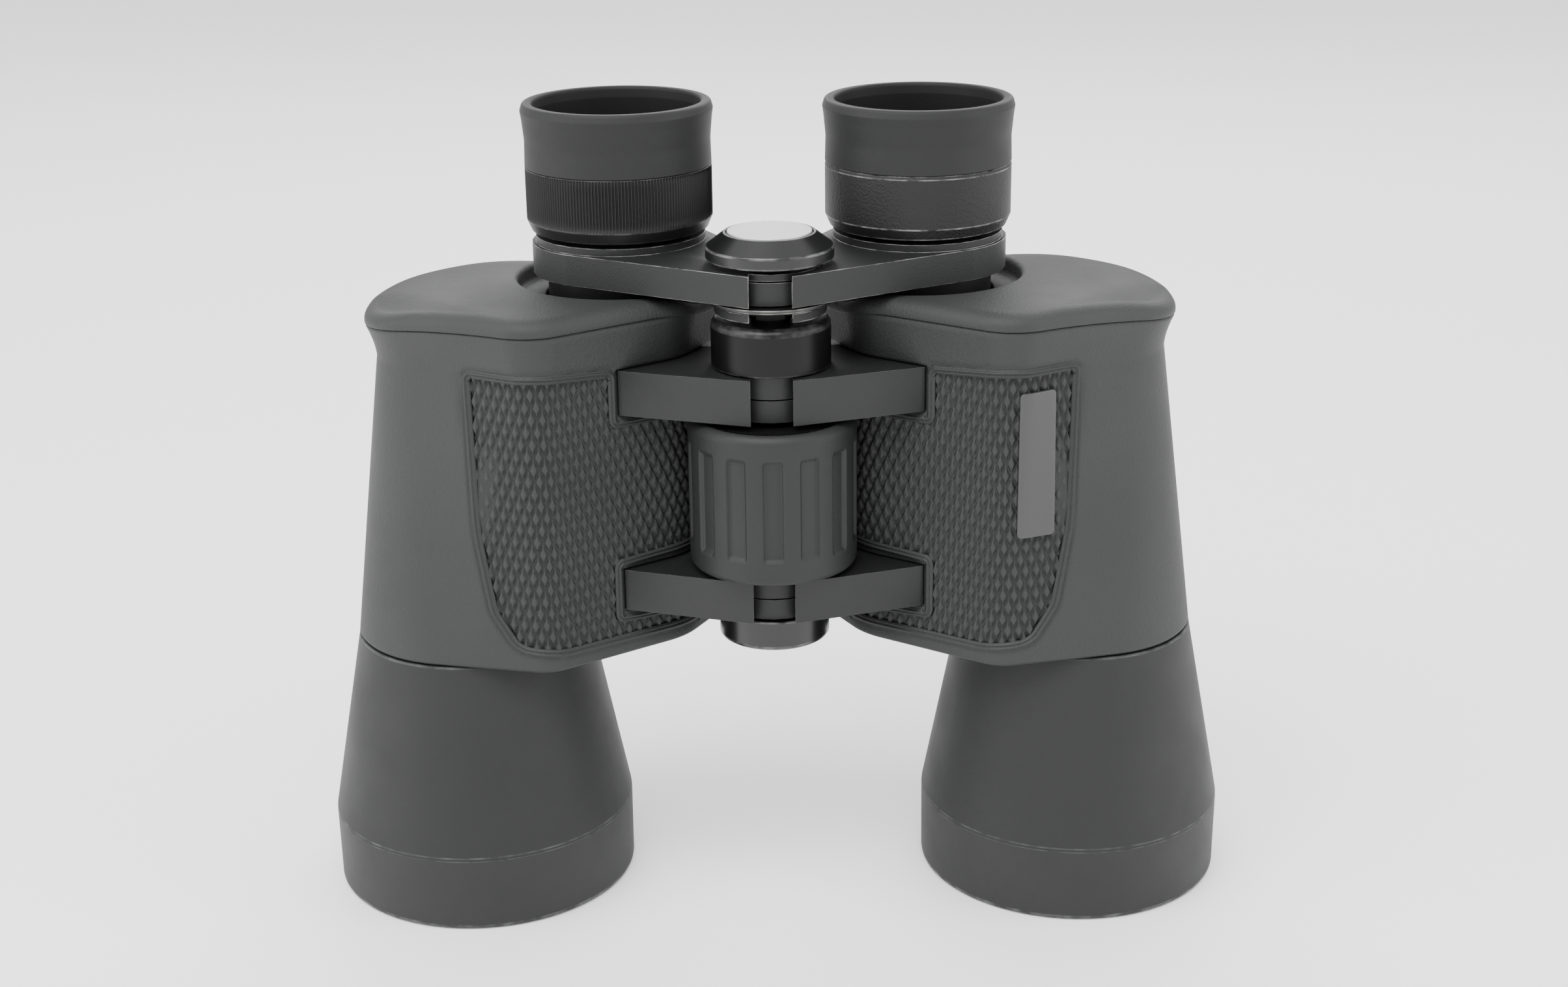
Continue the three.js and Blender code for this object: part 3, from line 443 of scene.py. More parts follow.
def armour_mesh(name, side):
    """Armour skin as one closed strip: up the outside, over the rim, down the inside.

    A point is the housing outline at its height, moved along the outline's normal. On the grips
    it sinks where the distance to the nearest line of a slanted lattice is small, which leaves
    flat-topped lozenges. It also sinks round the lugs and just outside the border bead, keeps
    clear of the focus wheel, and its top rows rise and fall with the shoulder's seam.
    """
    s, g = sizes(), bpy.context.scene.binocular_grip
    low, high = span("right_armour")
    steps = g.lozenge_steps
    cell = g.lozenge_width / steps
    rows = int(round(g.lozenge_rows * steps))
    heights = np.linspace(low[2], high[2], rows + 1)
    outside = HousingOutline(heights)
    first, last = -round(FINE_INWARDS / cell), round(FINE_OUTWARDS / cell)
    locked = np.arange(first, last + 1) * cell
    front = np.broadcast_to(locked, (rows + 1, len(locked)))
    back = outside.back[:, None] - locked[::-1]
    share_a = np.linspace(0, 1, OUTER_COLUMNS + 2)[1:-1]
    outer = front[:, -1:] + (back[:, :1] - front[:, -1:]) * share_a
    share_b = np.linspace(0, 1, INNER_COLUMNS + 2)[1:-1]
    inner = back[:, -1:] + (outside.total[:, None] + front[:, :1] - back[:, -1:]) * share_b
    run = np.concatenate([front, outer, back, inner], 1)
    nearest = np.concatenate([front, FAR_OUT + 0 * outer, 0 * back + locked[::-1],
                              FAR_IN + 0 * inner], 1)
    place, normal = outside.at(run)
    flat = np.stack([nearest, heights[:, None] + 0 * nearest], -1)
    gap = distance(flat, grip_outline())
    across = nearest / g.lozenge_width
    up = np.arange(rows + 1)[:, None] / steps
    slant_a, slant_b = across + up, across - up
    off_a, off_b = np.abs(slant_a - np.round(slant_a)), np.abs(slant_b - np.round(slant_b))
    groove = -g.groove_depth * (1 - np.clip(np.minimum(off_a, off_b) / 0.3, 0, 1))
    shift = np.where(gap < 0, groove - 0.1 * MM, 0)
    shift -= 0.35 * MM * np.exp(-((gap - g.bead_width * 0.6) / (0.35 * MM)) ** 2)
    for bottom, top in lug_levels():
        window = ((nearest < -g.inner_edge - 0.9 * MM) & (heights[:, None] > bottom - 0.4 * MM)
                  & (heights[:, None] < top + 0.4 * MM))
        shift = np.where(window, -1.1 * MM, shift)
    for rim, fall in ((heights - low[2], 0.5 * MM), (high[2] - heights, 0.35 * MM)):
        shift = shift - fall * (1 - np.sqrt(1 - (1 - np.clip(rim / fall, 0, 1)[:, None]) ** 2))
    wheel, wheel_radius, wheel_low, wheel_high = axis_of("focus_wheel_grip")
    outer_skin = place + normal * shift[..., None]
    inner_heights = np.linspace(high[2], low[2], LINING_ROWS)
    lining = HousingOutline(inner_heights, s.wall)
    beside_row = np.linspace(rows, 0, LINING_ROWS).round().astype(int)
    share_run = run[beside_row]
    scale = (lining.total / outside.total[beside_row])[:, None]
    lining_place, _ = lining.at(share_run * scale)
    plan = np.concatenate([outer_skin, lining_place])
    level = np.concatenate([heights, inner_heights])[:, None] * np.ones((1, plan.shape[1]))
    from_wheel = plan * [side, 1] - wheel
    away = np.linalg.norm(from_wheel, axis=-1)
    beside = (level > wheel_low - 1 * MM) & (level < wheel_high + 1 * MM)
    least = wheel_radius + 0.5 * MM
    push = np.where(beside & (away < least), least / np.maximum(away, 1e-9), 1)[..., None]
    plan = (wheel + from_wheel * push) * [side, 1]
    ramp = np.clip((level - g.top - 1.5 * MM) / (high[2] - g.top - 1.5 * MM), 0, 1)
    level = level + ramp * (seam_shift(plan[..., 0]) + 0.2 * MM)
    points = np.concatenate([plan * [side, 1], level[..., None]], -1)
    columns = plan.shape[1]
    total = len(points)
    i = np.arange(rows)[:, None] * np.ones((1, columns), int)
    j = np.arange(columns)[None] * np.ones((rows, 1), int)
    a, b = i * columns + j, i * columns + (j + 1) % columns
    c, d = (i + 1) * columns + (j + 1) % columns, (i + 1) * columns + j
    middle_across = (across + np.roll(across, -1, 1))[:-1] / 2
    middle_up = up[:-1] + 0.5 / steps
    near_a = np.abs(middle_across + middle_up - np.round(middle_across + middle_up))
    near_b = np.abs(middle_across - middle_up - np.round(middle_across - middle_up))
    falling = (near_a < near_b)[..., None]
    one = np.where(falling, np.stack([a, b, d], -1), np.stack([a, b, c], -1)).reshape(-1, 3)
    two = np.where(falling, np.stack([b, c, d], -1), np.stack([a, c, d], -1)).reshape(-1, 3)
    wrap = grid_faces(total, columns, wrap=True).reshape(total, columns, 4)[rows:].reshape(-1, 4)
    return new_mesh(name, points, [one, two, wrap], flip=side < 0)


def carried(name, side, run, height, section, ahead, flip=False):
    """Closed section carried along a closed line on the housing's skin.

    The line is given as run and height. A section point is across the line by its first number
    and out along the skin's normal by its second.
    """
    outline = HousingOutline(height)
    start = run[:, None] if ahead else outline.back[:, None] - run[:, None]
    place, normal = outline.at(start)
    centre = np.concatenate([place[:, 0] * [side, 1], height[:, None]], 1)
    out = np.concatenate([normal[:, 0] * [side, 1], 0 * height[:, None]], 1)
    tangent = unit(np.roll(centre, -1, 0) - np.roll(centre, 1, 0))
    across = unit(np.cross(tangent, out))
    points = (centre[:, None] + across[:, None] * section[None, :, :1]
              + out[:, None] * section[None, :, 1:])
    faces = grid_faces(len(points), len(section), wrap=True)
    return new_mesh(name, points, [faces], flip=flip)


def bead_section():
    """Two rounded ridges side by side over a sunk foot: two bell curves, the outer one lower."""
    g = bpy.context.scene.binocular_grip
    w = g.bead_width
    x = np.linspace(-0.5, 0.5, 17)
    y = np.exp(-((x + 0.14) / 0.17) ** 2) + 0.62 * np.exp(-((x - 0.27) / 0.11) ** 2) - 0.12
    top = np.stack([x * w, y * g.bead_height], -1)
    foot = np.array([[0.5 * w, -0.7 * MM], [-0.5 * w, -0.7 * MM]])
    return np.concatenate([top, foot])


class BuildArmour(bpy.types.Operator):
    """Rubber armour with lozenge grips in front and behind, and a bead round each grip"""
    bl_idname = "binoculars.armour"
    bl_label = "Armour"

    def execute(self, context):
        line = grip_outline()
        section = bead_section()
        for name, side in SIDES:
            body = name + "_half"
            skin = armour_mesh(name + "_armour_skin", side)
            add_piece(name + "_armour_skin", skin, ["armour_rubber"], body,
                      [name + "_armour"])
            for place, ahead in (("front", True), ("back", False)):
                title = f"{name}_{place}_grip_bead"
                turn = (side < 0) != (not ahead)
                mesh = carried(title, side, line[:, 0], line[:, 1],
                               section * [1 if turn else -1, 1], ahead, flip=not turn)
                add_piece(title, mesh, ["armour_rubber"], body)
        return {"FINISHED"}


# ------------------------------------------------------------------ shoulder covers
def cover_mesh(name, side, columns=288):
    """Shoulder as rings that run from the housing outline in to the eyepiece hole and back.

    The rim stands upright and turns in on a quarter ellipse. The top is level less
    drop * (way to the outer end)^4, less back * (way to the back edge)^2, less slope * distance
    past a line across the front outer corner. A round recess is cut in it about the eyepiece.
    """
    s = sizes()
    low, high = span("right_prism_cover")
    eyepiece, tube, _, _ = axis_of("right_eyepiece_tube")
    outline = HousingOutline([low[2]])
    run = np.linspace(0, outline.total[0], columns, endpoint=False)[None]
    place, normal = outline.at(run)
    rim, out = place[0], normal[0]
    heading = unit(rim - eyepiece)
    room = np.linalg.norm(rim - eyepiece, axis=1)[:, None] - s.recess_radius
    narrow = np.clip(room / (5 * MM), 0, 1)
    narrow = narrow * narrow * (3 - 2 * narrow)
    recess = eyepiece + heading * np.minimum(s.recess_radius, s.recess_radius + room - 0.9 * MM)
    hole = eyepiece + heading * (tube + 0.6 * MM)
    fillet = np.minimum(s.cover_round, np.maximum(room, 0.9 * MM) * 0.6)
    start = rim - out * fillet
    reach = high[0]
    corner = np.array([s.ridge_spread + 9 * MM, -s.ridge_depth + 5.3 * MM])
    facing = np.array([0.744, -0.668])
    floor = high[2] - s.recess_depth

    def level(plan):
        far = np.clip((plan[..., :1] - reach + 30 * MM) / (30 * MM), 0, 1)
        back = np.clip((plan[..., 1:] - 18 * MM) / (10 * MM), 0, 1)
        past = np.maximum(((plan - corner) * facing).sum(-1, keepdims=True), 0)
        return high[2] - s.cover_drop * far ** 4 - s.cover_back * back ** 2 - s.cover_facet * past

    rows = []

    def row(plan, height):
        rows.append(np.concatenate([plan, height * np.ones((columns, 1))], 1))

    seam = low[2] + seam_shift(rim[:, :1]) * narrow
    row(rim - out * 1.0 * MM, seam)
    row(rim - out * 0.12 * MM, seam + 0.04 * MM)
    row(rim, seam + 0.2 * MM)
    crest = np.maximum(floor + 0.3 * MM, floor + (level(start) - floor) * narrow)
    upright = np.maximum(crest - s.cover_round, seam + 0.8 * MM)
    row(rim, upright)
    for t in np.linspace(0.08, 1, 12) * math.pi / 2:
        row(rim - out * fillet * (1 - math.cos(t)), upright + (crest - upright) * math.sin(t))
    brow = recess + heading * np.clip(room * 0.3, 0.02 * MM, 1.1 * MM)

    def top(plan):
        return np.maximum(floor + 0.3 * MM, floor + (level(plan) - floor) * narrow)

    for t in (0.04, 0.12, 0.2, 0.3, 0.4, 0.5, 0.6, 0.7, 0.8, 0.9, 0.97):
        plan = start + (brow - start) * t
        row(plan, top(plan))
    edge_top = top(brow)
    drop = edge_top - floor
    for t in np.linspace(0, 1, 7) * math.pi / 2:
        row(brow + (recess - brow) * math.sin(t),
            edge_top - np.minimum(1.1 * MM, drop * 0.5) * (1 - math.cos(t)))
    row(recess, floor + 0.25 * drop)
    row(recess - heading * 0.15 * MM, floor + 0.08 * drop)
    row(recess - heading * 0.6 * MM, floor + 0 * drop)
    row(hole + heading * 0.3 * MM, floor + 0 * drop)
    row(hole, floor - 0.2 * MM + 0 * drop)
    row(hole, low[2])
    points = np.stack(rows) * [side, 1, 1]
    faces = grid_faces(len(points), columns, wrap=True)
    return new_mesh(name, points, [faces], flip=side < 0)


class BuildCovers(bpy.types.Operator):
    """Rounded shoulder covers over the prisms"""
    bl_idname = "binoculars.covers"
    bl_label = "Shoulder Covers"

    def execute(self, context):
        for name, side in SIDES:
            title = name + "_shoulder_cover"
            add_piece(title, cover_mesh(title, side), ["armour_rubber"], name + "_half",
                      [name + "_prism_cover"])
        return {"FINISHED"}


# ------------------------------------------------------------------ barrels and front glass
def simple_turned(title, node, corners, radii, columns, material, body, step=None,
                  shift=None):
    """Turned piece in place of a CAD node, round its axis, with corners rounded in millimetres."""
    centre = axis_of(node)[0]
    profile, edge = rounded(np.array(corners), np.array(radii) * MM)
    if step:
        profile, edge = dense(profile, edge, step)
    mesh = turned(title, profile, edge, centre, columns, shift)
    return add_piece(title, mesh, [material], body, [node])


def paint_shade_inside(piece, material, centre, radius, low):
    """Gives another, darker finish to the faces nearer to the axis than a radius and over a level:
    painted shade inside a hollow.
    """
    mesh = piece.data
    mesh.materials.append(look(material))
    middles = np.empty(3 * len(mesh.polygons), np.float32)
    mesh.polygons.foreach_get("center", middles)
    middles = middles.reshape(-1, 3)
    near = np.linalg.norm(middles[:, :2] - centre, axis=1) < radius
    mesh.polygons.foreach_set("material_index", (near & (middles[:, 2] > low)).astype(np.int32))


class BuildBarrels(bpy.types.Operator):
    """Objective barrels, a long cone and the neck inside the housing, and their rim rings"""
    bl_idname = "binoculars.barrels"
    bl_label = "Objective Barrels"

    def execute(self, context):
        for name, _ in SIDES:
            body = name + "_half"
            node = name + "_objective_barrel"
            centre, radius, low, high = axis_of(node)
            cone_top = span(name + "_armour")[0][2] - 0.3 * MM
            top_radius = sizes().lobe_foot
            bore = radius - 3.9 * MM
            corners = [
                [bore, low - 0.28 * MM], [radius, low - 0.28 * MM],
                [radius - 0.05 * MM, low + 0.4 * MM],
                [top_radius, cone_top], [19.4 * MM, cone_top], [19.4 * MM, high],
                [17.6 * MM, high], [17.6 * MM, cone_top - 2.5 * MM],
                [top_radius - 1.6 * MM, cone_top - 2.5 * MM], [bore, 29 * MM]]
            radii = [0.2, 0.02, 2.0, 0.45, 0.1, 0.2, 0.2, 0.2, 0.2, 0.2]
            simple_turned(name + "_barrel", node, corners, radii, MOST, "barrel_paint", body,
                          2.5 * MM)
            node = name + "_objective_rim"
            centre, radius, low, high = axis_of(node)
            inner = radius - 2.6 * MM
            hood = high - 4 * MM
            corners = [
                [inner, low], [radius - 0.1 * MM, low], [radius, high], [bore, high], [bore, hood],
                [inner, hood]]
            radii = [0.8, 1.1, 0.02, 0.2, 0.2, 0.2]
            piece = simple_turned(name + "_rim", node, corners, radii, MOST, "rim_paint", body,
                                  1.5 * MM)
            # The inside of the hood gets the blacked finish as painted shade.
            paint_shade_inside(piece, "inner_black", centre, radius - 1.6 * MM, low + 0.5 * MM)
        return {"FINISHED"}


def threads(pitch, depth, low, high, within):
    """Triangular ridges inside a radius: how far the skin moves at each angle and height."""
    def shift(angle, radius, height):
        phase = np.mod(height / pitch - angle / TURN, 1)
        ridge = depth * (1 - np.abs(2 * phase - 1))
        return ridge * ((height > low) & (height < high)) * (radius < within)
    return shift


def lens(title, node, body, rise, dish, bulge, columns):
    """Lens turned from two parabolas: low + rise * t^2 below, high - dish - bulge * t^2 above."""
    centre, radius, low, high = axis_of(node)
    t = np.linspace(0, 1, LENS_SAMPLES)
    lower = np.stack([radius * t, low + rise * t ** 2], -1)
    upper = np.stack([radius * t[::-1], high - dish - bulge * t[::-1] ** 2], -1)
    profile = np.concatenate([lower, upper])
    mesh = turned(title, profile, 0 * profile[:, 0], centre, columns)
    add_piece(title, mesh, ["coated_glass"], body, [node])


class BuildFrontGlass(bpy.types.Operator):
    """Objective lenses in their blacked cells, with a threaded retaining ring"""
    bl_idname = "binoculars.front_glass"
    bl_label = "Objective Glass"

    def execute(self, context):
        for name, _ in SIDES:
            body = name + "_half"
            _, radius, low, high = axis_of(name + "_objective_cell")
            lens_radius = axis_of(name + "_objective_lens")[1]
            corners = [[lens_radius + 0.3 * MM, low], [radius, low], [radius, high],
                       [lens_radius - 1.3 * MM, high], [lens_radius - 1.3 * MM, high - 2 * MM],
                       [lens_radius + 0.3 * MM, high - 2 * MM]]
            within = lens_radius + 1 * MM
            simple_turned(name + "_front_cell", name + "_objective_cell", corners, 0.2, SOME,
                          "inner_black", body, 0.4 * MM,
                          threads(0.8 * MM, 0.25 * MM, low + 1 * MM, high - 3 * MM, within))
            _, radius, low, high = axis_of(name + "_lens_retainer")
            inner = radius - 1.3 * MM
            corners = [[inner, low], [radius, low], [radius, high], [inner, high]]
            notches = lambda a, r, h: 0.9 * MM * (np.cos(a) ** 2 > 0.997) * (r < inner + 0.7 * MM)
            simple_turned(name + "_front_retainer", name + "_lens_retainer", corners, 0.25, FINE,
                          "inner_black", body, shift=notches)
            lens(name + "_front_lens", name + "_objective_lens", body, 2 * MM, MM, -MM, SOME)
        return {"FINISHED"}


# ------------------------------------------------------------------ castings and arms
def soft_casting(title, node, body, width):
    """Copy of a CAD node, its flat faces rejoined, with rounded edges that show wear and a painted
    highlight.
    """
    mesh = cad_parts[node].data.copy()
    mesh.name = title
    mesh.materials.clear()
    build = bmesh.new()
    build.from_mesh(mesh)
    bmesh.ops.remove_doubles(build, verts=build.verts, dist=2e-6)
    bmesh.ops.dissolve_limit(build, angle_limit=math.radians(1.2), verts=build.verts,
                             edges=build.edges)
    build.to_mesh(mesh)
    build.free()
    mesh.polygons.foreach_set("use_smooth", np.ones(len(mesh.polygons), bool))
    mesh.set_sharp_from_angle(angle=CORNER_LIMIT)
    piece = add_piece(title, mesh, ["satin_casting", "satin_edge_wear_and_highlight"], body, [node])
    soft = piece.modifiers.new("soft_edges", "BEVEL")
    soft.width, soft.segments = width, 3
    soft.limit_method, soft.angle_limit = "ANGLE", CORNER_LIMIT
    # bevel faces take the second finish: worn edges with a painted highlight
    soft.material = 1
    soft.harden_normals = True
    soft.miter_outer = "MITER_ARC"


class BuildCastings(bpy.types.Operator):
    """Prism castings with the hinge lugs, their edges rounded, worn and given a painted highlight
    """
    bl_idname = "binoculars.castings"
    bl_label = "Castings and Lugs"

    def execute(self, context):
        for name, _ in SIDES:
            soft_casting(name + "_casting", name + "_housing", name + "_half", 0.35 * MM)
        return {"FINISHED"}


class BuildArms(bpy.types.Operator):
    """Bridge arms and the nut, with rounded edges that are worn and given a painted highlight"""
    bl_idname = "binoculars.arms"
    bl_label = "Bridge Arms"

    def execute(self, context):
        for name, _ in SIDES:
            soft_casting(name + "_arm", name + "_bridge_arm", name + "_bridge", 0.35 * MM)
        soft_casting("arm_nut", "bridge_nut", "left_bridge", 0.2 * MM)
        return {"FINISHED"}


# ------------------------------------------------------------------ eyepieces
class BuildEyepieces(bpy.types.Operator):
    """Eyepiece tubes, lens cells and the two rings under the eyecups"""
    bl_idname = "binoculars.eyepieces"
    bl_label = "Eyepieces"

    def execute(self, context):
        for name, side in SIDES:
            bridge = name + "_bridge"
            node = name + "_eyepiece_tube"
            _, radius, low, high = axis_of(node)
            shoulder = span(name + "_bridge_arm")[0][2] - 0.3 * MM
            bore, stem = radius - TUBE_WALL, radius - STEM_WALL
            simple_turned(name + "_sleeve", node,
                          [[bore, low], [radius, low], [radius, shoulder], [stem, shoulder],
                           [stem, high], [bore, high]],
                          [0.2, 0.3, 0.4, 0.2, 0.2, 0.2], SOME, "ring_plastic", bridge)
            node = "left_dioptre_ring" if side < 0 else "right_eyepiece_ring"
            body = "dioptre_ring" if side < 0 else bridge
            _, radius, low, high = axis_of(node)
            inner = radius - RING_WALL
            skirt = low + 2.3 * MM
            if side < 0:
                def knurl(angle, reach, height):
                    wave = np.abs(np.mod(angle * KNURL_RIBS / TURN, 1) * 2 - 1)
                    ends = np.clip(np.minimum(height - skirt - 0.4 * MM, high + 0.1 * MM - height)
                                   / (0.3 * MM), 0, 1)
                    return -0.45 * MM * wave ** 1.2 * ends * (reach > radius - 0.8 * MM)

                simple_turned("left_ring_knurl", node,
                              [[inner, low], [radius - 1 * MM, low], [radius, skirt],
                               [radius, high + 0.2 * MM], [inner, high + 0.2 * MM]],
                              [0.2, 0.4, 0.5, 0.12, 0.2], KNURL_RIBS * 6, "ring_plastic", body,
                              0.9 * MM, knurl)
            else:
                simple_turned("right_ring_band", node,
                              [[inner, low], [radius - 1 * MM, low], [radius, skirt],
                               [radius, high - 0.5 * MM], [radius - 0.3 * MM, high + 0.2 * MM],
                               [inner, high + 0.2 * MM]],
                              [0.2, 0.4, 0.5, 0.2, 0.15, 0.2], FINE, "ring_grain", body)
            node = name + "_eyepiece_cell"
            body = "dioptre_carrier" if side < 0 else bridge
            _, radius, low, high = axis_of(node)
            seat = axis_of(name + "_eye_lens")[1] + 0.3 * MM
            stem_room = stem + 0.3 * MM
            simple_turned(name + "_eye_cell", node,
                          [[stem_room, low], [radius, low], [radius, high],
                           [10 * MM, high - 0.9 * MM], [10 * MM, high - 1.9 * MM],
                           [seat, high - 1.9 * MM],
                           [seat, low + 4.1 * MM], [stem_room, low + 4.1 * MM]],
                          [0.2, 0.2, 0.3, 0.15, 0.15, 0.1, 0.1, 0.1], SOME, "inner_black", body)
            for kind, holder in (("eye_lens", body), ("field_lens", bridge)):
                node = f"{name}_{kind}"
                low, high = axis_of(node)[2:]
                bulge = (high - low) * 0.16
                lens(node + "_glass", node, holder, bulge, 0, bulge, FEW)
        return {"FINISHED"}


class BuildEyecups(bpy.types.Operator):
    """Flared rubber eyecups with a rolled lip and a stepped inside"""
    bl_idname = "binoculars.eyecups"
    bl_label = "Eyecups"

    def execute(self, context):
        for name, side in SIDES:
            node = name + "_eyecup"
            body = "dioptre_ring" if side < 0 else "right_bridge"
            centre, top_radius, low, high = axis_of(node)
            base = low + 1.9 * MM
            foot = axis_of("right_eyepiece_ring")[1]
            tall = high - base
            wall = CUP_WALL
            middle = base + 0.4 * tall
            corners = [[10.4 * MM, low], [foot - 3.1 * MM, low], [foot - 3.1 * MM, base],
                       [foot, base], [foot - 0.15 * MM, middle],
                       [top_radius - 0.25 * MM, high - 3.4 * MM],
                       [top_radius, high - 1.6 * MM], [top_radius - 0.5 * MM, high],
                       [top_radius - wall - 0.3 * MM, high],
                       [top_radius - wall - 0.6 * MM, high - 2.2 * MM],
                       [foot - wall, middle], [foot - wall, base + 2.4 * MM],
                       [13.6 * MM, base + 1.2 * MM], [11.2 * MM, low + 2.6 * MM],
                       [10.4 * MM, low + 1.6 * MM]]
            radii = [0.2, 0.2, 0.1, 0.12, 9, 4, 0.6, 0.75, 0.7, 1.0, 6, 0.6, 0.6, 0.3, 0.2]
            piece = simple_turned(name + "_cup", node, corners, radii, MANY, "cup_rubber", body,
                                  1.2 * MM)
            # The inside of the cup gets a darker finish as painted shade.
            paint_shade_inside(piece, "cup_inner_shade", centre, top_radius - 1.3 * MM, base + 0.5 * MM)
        return {"FINISHED"}


# ------------------------------------------------------------------ hinge, wheel and caps
class BuildFocusWheel(bpy.types.Operator):
    """Ribbed rubber grip of the focus wheel on its core"""
    bl_idname = "binoculars.focus_wheel"
    bl_label = "Focus Wheel"

    def execute(self, context):
        node = "focus_wheel_grip"
        _, radius, low, high = axis_of(node)
        inner = radius - 2.2 * MM
        middle = (low + high) / 2
        pockets, width, tall, depth = WHEEL_POCKETS, 4.5 * MM, 21.5 * MM, 0.75 * MM

        def sink(angle, reach, height):
            turn = (np.mod(angle * pockets / TURN, 1) - 0.5) * TURN / pockets
            side_gap = width / 2 - np.abs(turn) * radius
            end_gap = tall / 2 - np.abs(height - middle)
            wall = np.clip(side_gap / (0.55 * MM), 0, 1) * np.clip(end_gap / (0.9 * MM), 0, 1)
            return -depth * wall * wall * (3 - 2 * wall) * (reach > radius - 0.5 * MM)

        simple_turned("wheel_grip", node,
                      [[inner, low], [radius, low], [radius, high], [inner, high]],
                      [0.3, 1.3, 2.0, 0.4], pockets * 36, "wheel_rubber", "focus_wheel",
                      0.45 * MM, sink)
        return {"FINISHED"}


class BuildHinge(bpy.types.Operator):
    """Black collar, dark washer, hinge cap with its blank disc, and the tripod cap"""
    bl_idname = "binoculars.hinge"
    bl_label = "Hinge Collar and Caps"

    def execute(self, context):
        bore = HINGE_BORE
        _, radius, low, high = axis_of("hinge_collar")
        simple_turned("hinge_collar_gloss", "hinge_collar",
                      [[bore, low], [radius, low], [radius, high], [bore, high]],
                      [0.3, 0.3, 1.5, 0.3], MANY, "collar_black", "left_half")
        _, radius, low, high = axis_of("bridge_washer")
        simple_turned("arm_washer", "bridge_washer",
                      [[bore, low], [radius, low], [radius, high], [bore, high]],
                      [0.1, 0.25, 0.25, 0.1], MANY, "dark_steel", "left_bridge")
        _, radius, low, high = axis_of("hinge_cap")
        arm_top = span("left_bridge_arm")[1][2] - 1.5 * MM
        cap_low = arm_top + 1.1 * MM
        _, label_radius, label_low, label_high = axis_of("cap_label")
        sunk = label_low - 0.3 * MM
        simple_turned("hinge_cap_gloss", "hinge_cap",
                      [[0, low], [bore, low], [bore, cap_low], [radius, cap_low],
                       [radius, cap_low + 2.4 * MM], [label_radius + 0.75 * MM, high],
                       [label_radius + 0.3 * MM, high], [label_radius + 0.3 * MM, sunk],
                       [0, sunk]],
                      [0, 0.1, 0.1, 0.35, 0.5, 0.12, 0.1, 0.05, 0], MANY, "gloss_black",
                      "left_bridge")
        simple_turned("hinge_disc", "cap_label",
                      [[0, label_low], [label_radius, label_low], [label_radius, label_high],
                       [0, label_high]],
                      [0, 0.1, 0.15, 0], SOME, "silver_label", "left_bridge")
        _, radius, low, high = axis_of("tripod_cap")
        rim = low + 6.3 * MM
        floor = low + 3.4 * MM
        stud = 2.8 * MM
        simple_turned("tripod_plug", "tripod_cap",
                      [[0, low], [radius, low], [radius, rim], [7.2 * MM, rim], [7.2 * MM, floor],
                       [stud, floor], [stud, high], [0, high]],
                      [0, 0.9, 0.3, 0.2, 0.2, 0.2, 0.3, 0], PLUG_COLUMNS, "gloss_black",
                      "tripod_cap_carrier")
        return {"FINISHED"}


class BuildGripPlate(bpy.types.Operator):
    """Thin blank plate that follows the right grip"""
    bl_idname = "binoculars.grip_plate"
    bl_label = "Grip Plate"

    def execute(self, context):
        grip = context.scene.binocular_grip
        low, high = span("grip_plate")
        middle, tall, wide = (low[2] + high[2]) / 2, high[2] - low[2], grip.plate_width
        start = grip.plate_start
        corners = [[start, middle - tall / 2], [start + wide, middle - tall / 2],
                   [start + wide, middle + tall / 2], [start, middle + tall / 2]]
        rim, _ = rounded(corners, 0.9 * MM, 7, 0.2 * MM)
        rim, _ = dense(rim, 0 * rim[:, 0], 0.6 * MM)
        centre = np.array([start + wide / 2, middle])
        rings, lifts = [], []
        for inset, lift in ((0.0, -0.1), (0.0, 0.42), (0.12, 0.52), (0.3, 0.55), (0.9, 0.55),
                            (1.8, 0.55), (2.7, 0.55), (3.55, 0.55)):
            scale = 1 - inset * MM / np.abs(rim - centre).max(0)
            rings.append(centre + (rim - centre) * scale)
            lifts.append(np.full(len(rim), lift * MM))
        flat, lift = np.concatenate(rings), np.concatenate(lifts)
        outline = HousingOutline(flat[:, 1])
        place, normal = outline.at(flat[:, :1])
        plan = place[:, 0] + normal[:, 0] * lift[:, None]
        points = np.concatenate([plan, flat[:, 1:]], 1)
        count = len(rim)
        foot_at, crown_at = len(points), len(points) + 1
        foot = points[:count].mean(0)
        crown = points[-count:].mean(0)
        points = np.concatenate([points, [foot, crown]])
        faces = [grid_faces(len(rings), count),
                 fan_faces(np.arange(count), foot_at, False),
                 fan_faces((len(rings) - 1) * count + np.arange(count), crown_at, True)]
        mesh = new_mesh("grip_badge", points, faces)
        add_piece("grip_badge", mesh, ["plate_black"], "right_half", ["grip_plate"])
        return {"FINISHED"}


class FinishInsides(bpy.types.Operator):
    """Procedural finishes on the CAD pieces whose shape is kept"""
    bl_idname = "binoculars.insides"
    bl_label = "Prisms and Inner Pieces"

    def execute(self, context):
        kept = {
            "prism_glass": ["upper_prism", "lower_prism"],
            "bright_steel": ["prism_shelf", "prism_strap"],
            "coated_glass": ["objective_rear_lens"],
        }
        rows = [(f"{name}_{node}", finish) for name, _ in SIDES
                for finish, nodes in kept.items() for node in nodes]
        rows += [("lower_hinge_pin", "bright_steel"), ("upper_hinge_bush", "bright_steel"),
                 ("tripod_insert", "brass"), ("focus_screw", "dark_steel"),
                 ("focus_wheel_core", "inner_black")]
        for node, finish in rows:
            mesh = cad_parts[node].data
            mesh.materials.clear()
            mesh.materials.append(look(finish))
        return {"FINISHED"}


# ------------------------------------------------------------------ finishes
def socket(group, name, direction, value=None, kind="NodeSocketFloat"):
    """New socket on a node group, with its default."""
    made = group.interface.new_socket(name=name, in_out=direction, socket_type=kind)
    if value is not None:
        made.default_value = value


